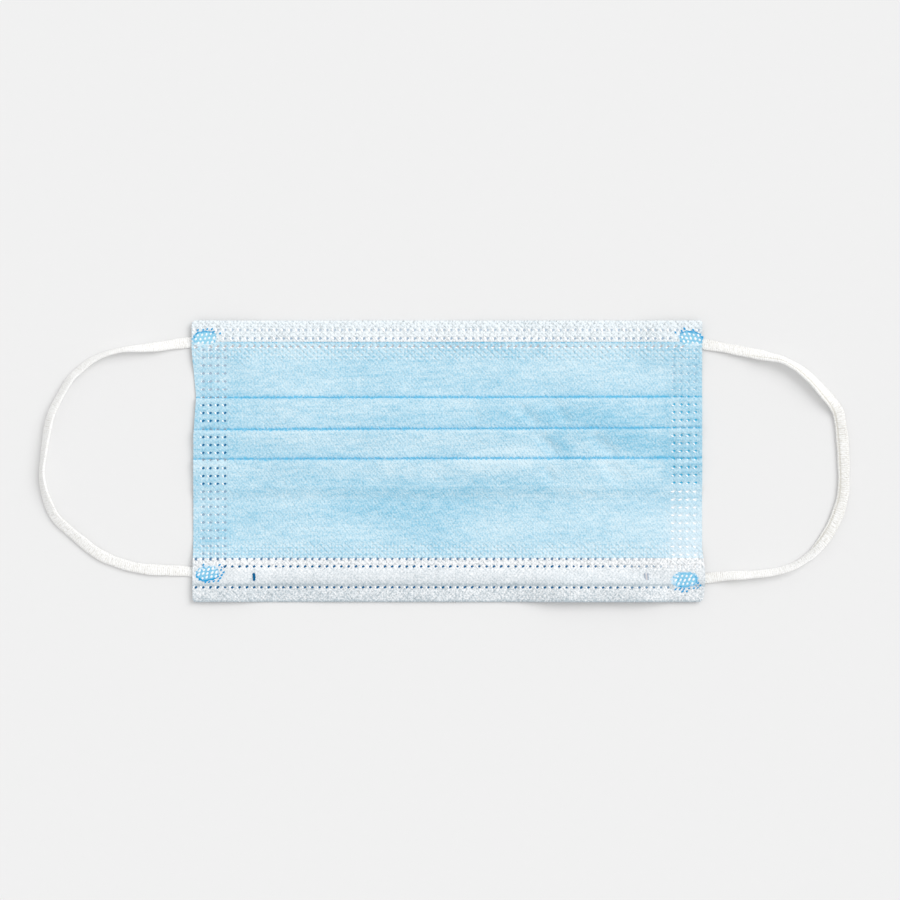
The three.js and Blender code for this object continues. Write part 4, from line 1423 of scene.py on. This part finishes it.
class FACEMASK_OT_loop_welds(Operator):
    """Make the knurled welds over the ends of the loops"""

    bl_idname = "facemask.loop_welds"
    bl_label = "Loop welds"

    def execute(self, context):
        settings = context.scene.face_mask
        line, (_, inner) = ply_grids(settings, "inner")
        outer_line, (outer, _) = ply_grids(settings, "outer")
        border = HALF_HEIGHT - settings.wall.chin_hem
        outer = outer[outer_line["seen"] & (outer_line["y"] < border) & (outer_line["y"] > 0)]
        surface = np.concatenate([inner[line["seen"]].reshape(-1, 3), outer.reshape(-1, 3)])
        fused = loop_weld_film(settings.colours)
        for number, weld in enumerate(LOOP_WELDS):
            name = f"{weld.hem}_{'left' if weld.x < 0 else 'right'}"
            pad = self.pad(f"{name}_loop_weld", weld, surface, border, number)
            points = self.knurls(f"{name}_weld_points", weld, surface, settings.welds, border,
                                 number)
            ride(pad, fused, "inner_ply")
            ride(points, fused, "inner_ply")
        return {"FINISHED"}

    @staticmethod
    def pad(name, weld, surface, border, seed):
        """A thin oval film laid on the hem, whose outline wavers by three sines of the angle. Its
        rim is deeper blue on one side: by the cosine of the angle from that side."""
        rings, sides, thick = 20, 96, 0.00005
        waves = ((5, 0.025), (11, 0.04), (17, 0.035))  # times round, share of the half size
        reach = np.linspace(0, 1, rings + 1)[1:, None]
        angle = angles_round(sides)
        starts = np.random.default_rng(40 + seed).uniform(0, 2 * math.pi, 4)
        waver = 1 + reach ** 3 * sum(high * np.sin(times_round * angle + start)
                                     for (times_round, high), start in zip(waves, starts))
        along, over = (np.append(0.0, half * reach * wave * waver) for half, wave in (
            (weld.half_length, squarer(np.cos(angle), 0.8)),
            (weld.half_height, squarer(np.sin(angle), 0.9))))
        x, y = on_mask(along, over, weld)
        edge = np.append(0.0, np.repeat(reach.ravel(), sides))
        side = np.append(0.0, np.tile(np.cos(angle - math.radians(weld.dark_side)), rings))
        blotches = np.append(0.0, np.tile(np.sin(9 * angle + starts[3]), rings))
        dark = weld.dark * (0.35 + 0.65 * np.clip(side + 0.2, 0, 1)) * (0.8 + 0.4 * blotches)
        tone = (weld.blue + dark * bell(edge, 0.92, 0.10)
                + 0.25 * weld.dark * ramp(edge, 0.6, 0.4) * np.clip(side, 0, 1))
        ragged = ramp(edge, 0.93, 0.07) * (1 - weld.dark * np.clip(side + 0.6, 0, 1)) * 0.6
        if weld.hem == "chin":
            tone = tone * ramp(y, border - 0.0012, 0.0016)
            ragged = np.maximum(ragged, 0.25 * (1 - ramp(y, border - 0.0026, 0.0016)))
        z = height_over(surface, x, y)
        top = np.stack([x, y, z + thick * (1 - edge ** 6) + 0.00001], axis=1)
        beneath = np.array([[weld.x, weld.y, z[0] - 0.00003]])
        number = np.arange(sides) + 1
        after = np.roll(number, -1)
        rim = (rings - 1) * sides
        caps = [fan(0, number, after), fan(len(top), after + rim, number + rim)]
        quads = grid_faces(rings, sides, first=1, around=True)[:, ::-1]
        return new_mesh(name, np.concatenate([top, beneath]), quads, np.concatenate(caps),
                        attributes={"tone": np.append(tone, 0.0), "rim": np.append(ragged, 0.0)},
                        sharp=80)

    @staticmethod
    def knurls(name, weld, surface, welds, border, seed):
        """The prints of the knurled horn: a lattice of leaning ovals, whose rows are each shifted
        from the last. They are raised and white within the rim, and blue dashes just outside it."""
        random = np.random.default_rng(20 + seed)
        scatter, side_edge, raised = 0.00008, 0.0868, 0.00006
        # How far from the middle points and dashes lie, as shares of the weld's half sizes.
        points_to, dashes_from, dashes_to = 0.88, 1.08, 1.48
        cells, rows = np.meshgrid(np.arange(-9, 10), np.arange(-8, 9))
        along, over = (np.concatenate([points.ravel(), dashes.ravel()]) for points, dashes in (
            (cells * welds.knurl_pitch - rows * weld.shift,
             cells * welds.knurl_pitch - rows * weld.shift * 0.8),
            (rows * welds.knurl_row, (rows + 0.5) * welds.knurl_row * 0.68)))
        along, over = (part + random.normal(0, scatter, part.shape) for part in (along, over))
        x, y = on_mask(along, over, weld)
        reach = np.hypot(along / weld.half_length, over / weld.half_height)
        is_point = np.arange(reach.size) < cells.size
        toward = np.cos(np.arctan2(over, along) - math.radians(weld.dash_side))
        chance = 0.05 + 0.9 * ramp(toward, 0.05, 0.5)
        within = is_point & (reach < points_to)
        outside = ~is_point & (reach > dashes_from) & (reach < dashes_to)
        outside &= random.random(reach.shape) < chance
        if weld.hem == "chin":
            outside &= y > border + 0.0012
        wanted = (within | outside) & (np.abs(x) < side_edge)
        x, y, within = x[wanted], y[wanted], within[wanted]
        count = len(x)
        middles = np.stack([x, y, height_over(surface, x, y) + raised * within], axis=1)
        turn = np.radians(weld.lean + random.normal(0, 7, count))
        long_half = np.where(within, 0.00060, 0.00056) * random.uniform(0.75, 1.2, count)
        short_half = np.where(within, 0.00040, 0.00034) * random.uniform(0.85, 1.1, count)
        flat = np.zeros(count)
        long_axis = long_half[:, None] * np.stack([np.cos(turn), np.sin(turn), flat], axis=1)
        short_axis = short_half[:, None] * np.stack([-np.sin(turn), np.cos(turn), flat], axis=1)
        rings = np.where(within[:, None], [0.00012, 0.0001, 0.0], [0.00006, 0.00006, 0.00003])
        tone = np.where(within, weld.blue, 0.75 + weld.blue)[:, None] * np.ones(4)
        rim = np.where(within[:, None], [1.0, 1.0, 0.5, 0.3], [0.0, 0.0, 0.15, 0.3])
        rim = rim * np.where(within, random.uniform(0.75, 1.0, count), 1.0)[:, None]
        return small_ovals(name, middles, long_axis, short_axis, (0.62, 1.0), rings,
                           np.full(count, -0.00005), {"tone": tone, "rim": rim})


class FACEMASK_OT_outer_ply(Operator):
    """Make the blue outer ply, folded into three pleats"""

    bl_idname = "facemask.outer_ply"
    bl_label = "Outer ply"

    def execute(self, context):
        settings = context.scene.face_mask
        wall = settings.wall
        line, faces = ply_grids(settings, "outer")
        skin = beside(line, wall.ply / 2)
        run = distances(np.stack([skin["y"], skin["z"]], axis=1))
        x, y, _ = np.moveaxis(faces[0], 2, 0)
        whole = np.ones(x.shape)
        quilted = ramp(line["y"], 0.0342, 0.0008) + ramp(-line["y"], 0.0275, 0.0008)
        in_band = 0.0002 * ramp(np.abs(x), 0.0745, 0.003)
        attributes = {"fold": self.from_fold(line, skin, run, wall)[:, None] + in_band,
                      "emboss": quilted[:, None] * whole,
                      "density_and_shade": self.density_and_shade(x, y) + self.painted_light_below_fold(line["y"])[:, None],
                      "thin": self.thin(x, y),
                      "sunk": sunk_in_welds(line, settings.welds)}
        uv = np.stack([x, run[:, None] * whole], axis=2)
        ply = sheet_piece("outer_ply_spunbond", faces, uv, attributes)
        ride(ply, blue_spunbond(settings.colours), "outer_ply", "outer_ply")
        return {"FINISHED"}

    @staticmethod
    def from_fold(line, skin, run, wall):
        """How far each row lies from the middle of the nearest coloured line, in metres: along the
        skin from the tip of each fold, where the doubled cloth is deeper blue, and along Y from the
        crease just past it, where the line is painted shade. A fainter line of painted shadow lies in
        the blue beside the edge of the chin hem."""
        near, far, crease, fainter = 0.003, 0.005, 0.00012, 0.0003
        seen, y = line["seen"], skin["y"]
        away = np.full(len(y), far)
        for tip in np.flatnonzero(seen[:-1] & ~seen[1:]) - 1:
            before = seen & (np.abs(run - run[tip]) < near)
            away[before] = np.minimum(away[before], np.abs(run[before] - run[tip]))
            # Painted shade in the crease on the cloth just past the fold.
            after = (y > y[tip] - 0.0003) & (y < y[tip] + near) & (run > run[tip] + near)
            away[after] = np.minimum(away[after], np.abs(y[after] - y[tip] - crease))
        # Painted shadow of the chin hem's edge on the blue.
        border = HALF_HEIGHT - wall.chin_hem - 0.0001
        beside_hem = seen & (np.abs(y - border) < near)
        away[beside_hem] = np.minimum(away[beside_hem], np.abs(y[beside_hem] - border) + fainter)
        return away

    @staticmethod
    def painted_light_below_fold(y):
        """A painted highlight below each pleat's edge: how much the blue pales from the edge towards the
        nose, most where the pressed cloth turns over at the edge and faces the light, fading out about
        8 mm below it."""
        edges = np.array([pleat["edge"] for pleat in PLEATS] + [1.0])
        below = edges[np.searchsorted(edges[:-1], y)] - y
        return (-0.12 * bell(below, 0.0, 0.0007) - 0.16 * (1 - ramp(below, 0.0, 0.0085))
                + 0.04 * ramp(below, 0.005, 0.005) * (below < 0.5))

    @staticmethod
    def density_and_shade(x, y):
        """How much denser the blue looks: more in the side bands towards the chin and in the middle
        of the nose panel, less where the cloth is loose, and a painted shade on the slope that climbs
        onto the first hidden fold. The patches add denser web and painted light and shade."""
        left = ramp(-x, 0.072, 0.004) * ramp(y, -0.009, 0.006)
        right = ramp(x, 0.072, 0.003) * ramp(y, -0.009, 0.004)
        corner = ramp(x, 0.0716, 0.0008) * ramp(y, 0.0215, 0.001)
        loose = bell(np.hypot((x - 0.034) / 0.030, (y - 0.004) / 0.017), 0.0, 1.0)
        nose = bell(np.hypot((x + 0.012) / 0.034, (y + 0.014) / 0.010), 0.0, 1.0)
        folded = ramp(y, -0.0085, 0.001) * (1 - ramp(y, 0.0215, 0.001))
        # Painted shade on the slope onto the first hidden fold, which faces away from the light.
        hidden = bell(y, -0.0099, 0.0011) * (1 - ramp(np.abs(x), 0.070, 0.006))
        quilted = ramp(y, 0.0290, 0.0008) + ramp(-y, 0.0265, 0.0008)
        return (0.05 * quilted - 0.03 * left + 0.19 * right - 0.12 * corner - 0.06 * loose
                + 0.13 * nose + 0.12 * folded + 0.16 * hidden + patches(x, y, BLUE_PATCHES))

    @staticmethod
    def thin(x, y):
        """How far the blue pales to white: most at the right side near the nose."""
        side = ramp(x, 0.0705, 0.010) * (1 - ramp(y, -0.030, 0.019))
        return 0.32 * side + 0.12 * ramp(x, 0.050, 0.03) * (1 - ramp(y, -0.010, 0.01))


class FACEMASK_OT_inner_ply(Operator):
    """Make the white inner ply, folded to the front over both long edges"""

    bl_idname = "facemask.inner_ply"
    bl_label = "Inner ply"

    def execute(self, context):
        settings = context.scene.face_mask
        line, faces = ply_grids(settings, "inner")
        run = distances(np.stack([line["y"], line["z"]], axis=1))
        x, y, _ = np.moveaxis(faces[0], 2, 0)
        whole = np.ones(x.shape)
        # Patches of denser web, some of them painted light and shade on low waves.
        patch_density_and_shade = patches(x, y, WHITE_PATCHES)
        at_chin = ramp(line["y"], 0.0, 0.01)[:, None]
        attributes = {"emboss": self.quilted(line)[:, None] * whole,
                      "density_and_shade": self.density_and_shade(line)[:, None] + patch_density_and_shade,
                      "backed": np.clip(at_chin + 4 * at_chin * patch_density_and_shade, 0, 2),
                      "fibrous": self.fibrous(line)[:, None] * whole,
                      "sunk": sunk_in_welds(line, settings.welds)}
        uv = np.stack([x, run[:, None] * whole], axis=2)
        ply = sheet_piece("inner_ply_spunbond", faces, uv, attributes)
        ride(ply, white_spunbond(settings.colours), "inner_ply", "inner_ply")
        return {"FINISHED"}

    @staticmethod
    def quilted(line):
        """How deep the quilting pins print: fully at the hems, less over the pocket, which is
        pinned without the plies behind it."""
        in_pocket = ramp(-line["y"], 0.0360, 0.0008) * line["seen"]
        return ramp(np.abs(line["y"]), 0.0275, 0.0008) * (1 - 0.55 * in_pocket)

    @staticmethod
    def density_and_shade(line):
        """How much greyer the white looks: over the nose edge; as painted shade in the lower half of the
        pocket, where the bulge over the wire turns away from the light, and on the strip below it; and
        most as painted shade in the crease along the lower edge of the wire and along the fold at the
        very edge."""
        y = line["y"]
        front = line["seen"] & (y < 0)
        edge = 1 - ramp(y, -0.0437, 0.0009)
        # Painted shade on the lower half of the pocket and on the strip below the wire.
        pocket = (1 - ramp(y, -0.0430, 0.0040)) * (1 - 0.3 * edge)
        # Painted shade along the fold at the very edge, which turns away from the light.
        fold = 1 - ramp(y, -0.0480, 0.0004)
        # Painted shade in the crease along the lower edge of the wire.
        return front * (0.14 + 0.28 * ramp(-y, 0.0363, 0.0008) - 0.02 * edge + 0.26 * pocket
                        + 0.5 * bell(y, -0.0425, 0.0003) + 0.5 * fold) + 0.01

    @staticmethod
    def fibrous(line):
        """How much the fibres show: least over the wire, where the ply is stretched smooth."""
        y = line["y"]
        over_wire = ramp(-y, 0.0363, 0.0008) * ramp(y, -0.0430, 0.0008)
        return 1 - line["seen"] * (0.5 * over_wire + 0.15 * (y < -0.0430))


class FACEMASK_PT_panel(Panel):
    """Lists the pieces of the mask in the order in which they are made"""

    bl_idname = "FACEMASK_PT_panel"
    bl_label = "Face Mask"
    bl_space_type = "VIEW_3D"
    bl_region_type = "UI"
    bl_category = "Face Mask"

    def draw(self, context):
        layout = self.layout
        settings = context.scene.face_mask
        for operator in OPERATORS:
            layout.operator(operator.bl_idname)
        for group in ("wall", "welds", "loops", "colours", "stage"):
            box = layout.box()
            box.label(text=group.capitalize())
            part = getattr(settings, group)
            for name in part.__annotations__:
                box.prop(part, name)


OPERATORS = (
    FACEMASK_OT_stage, FACEMASK_OT_ear_loops, FACEMASK_OT_nose_wire, FACEMASK_OT_weld_dots,
    FACEMASK_OT_loop_welds, FACEMASK_OT_outer_ply, FACEMASK_OT_inner_ply,
)
CLASSES = (
    FaceMaskWall, FaceMaskWelds, FaceMaskLoops, FaceMaskColours, FaceMaskStage, FaceMaskSettings,
    *OPERATORS, FACEMASK_PT_panel,
)


def register():
    for cls in CLASSES:
        bpy.utils.register_class(cls)
    bpy.types.Scene.face_mask = PointerProperty(type=FaceMaskSettings)


def unregister():
    del bpy.types.Scene.face_mask
    for cls in reversed(CLASSES):
        bpy.utils.unregister_class(cls)


def main():
    """Makes the whole mask."""
    register()
    bpy.ops.facemask.stage()
    bpy.ops.facemask.ear_loops()
    bpy.ops.facemask.nose_wire()
    bpy.ops.facemask.weld_dots()
    bpy.ops.facemask.loop_welds()
    bpy.ops.facemask.outer_ply()
    bpy.ops.facemask.inner_ply()


if __name__ == "__main__":
    main()
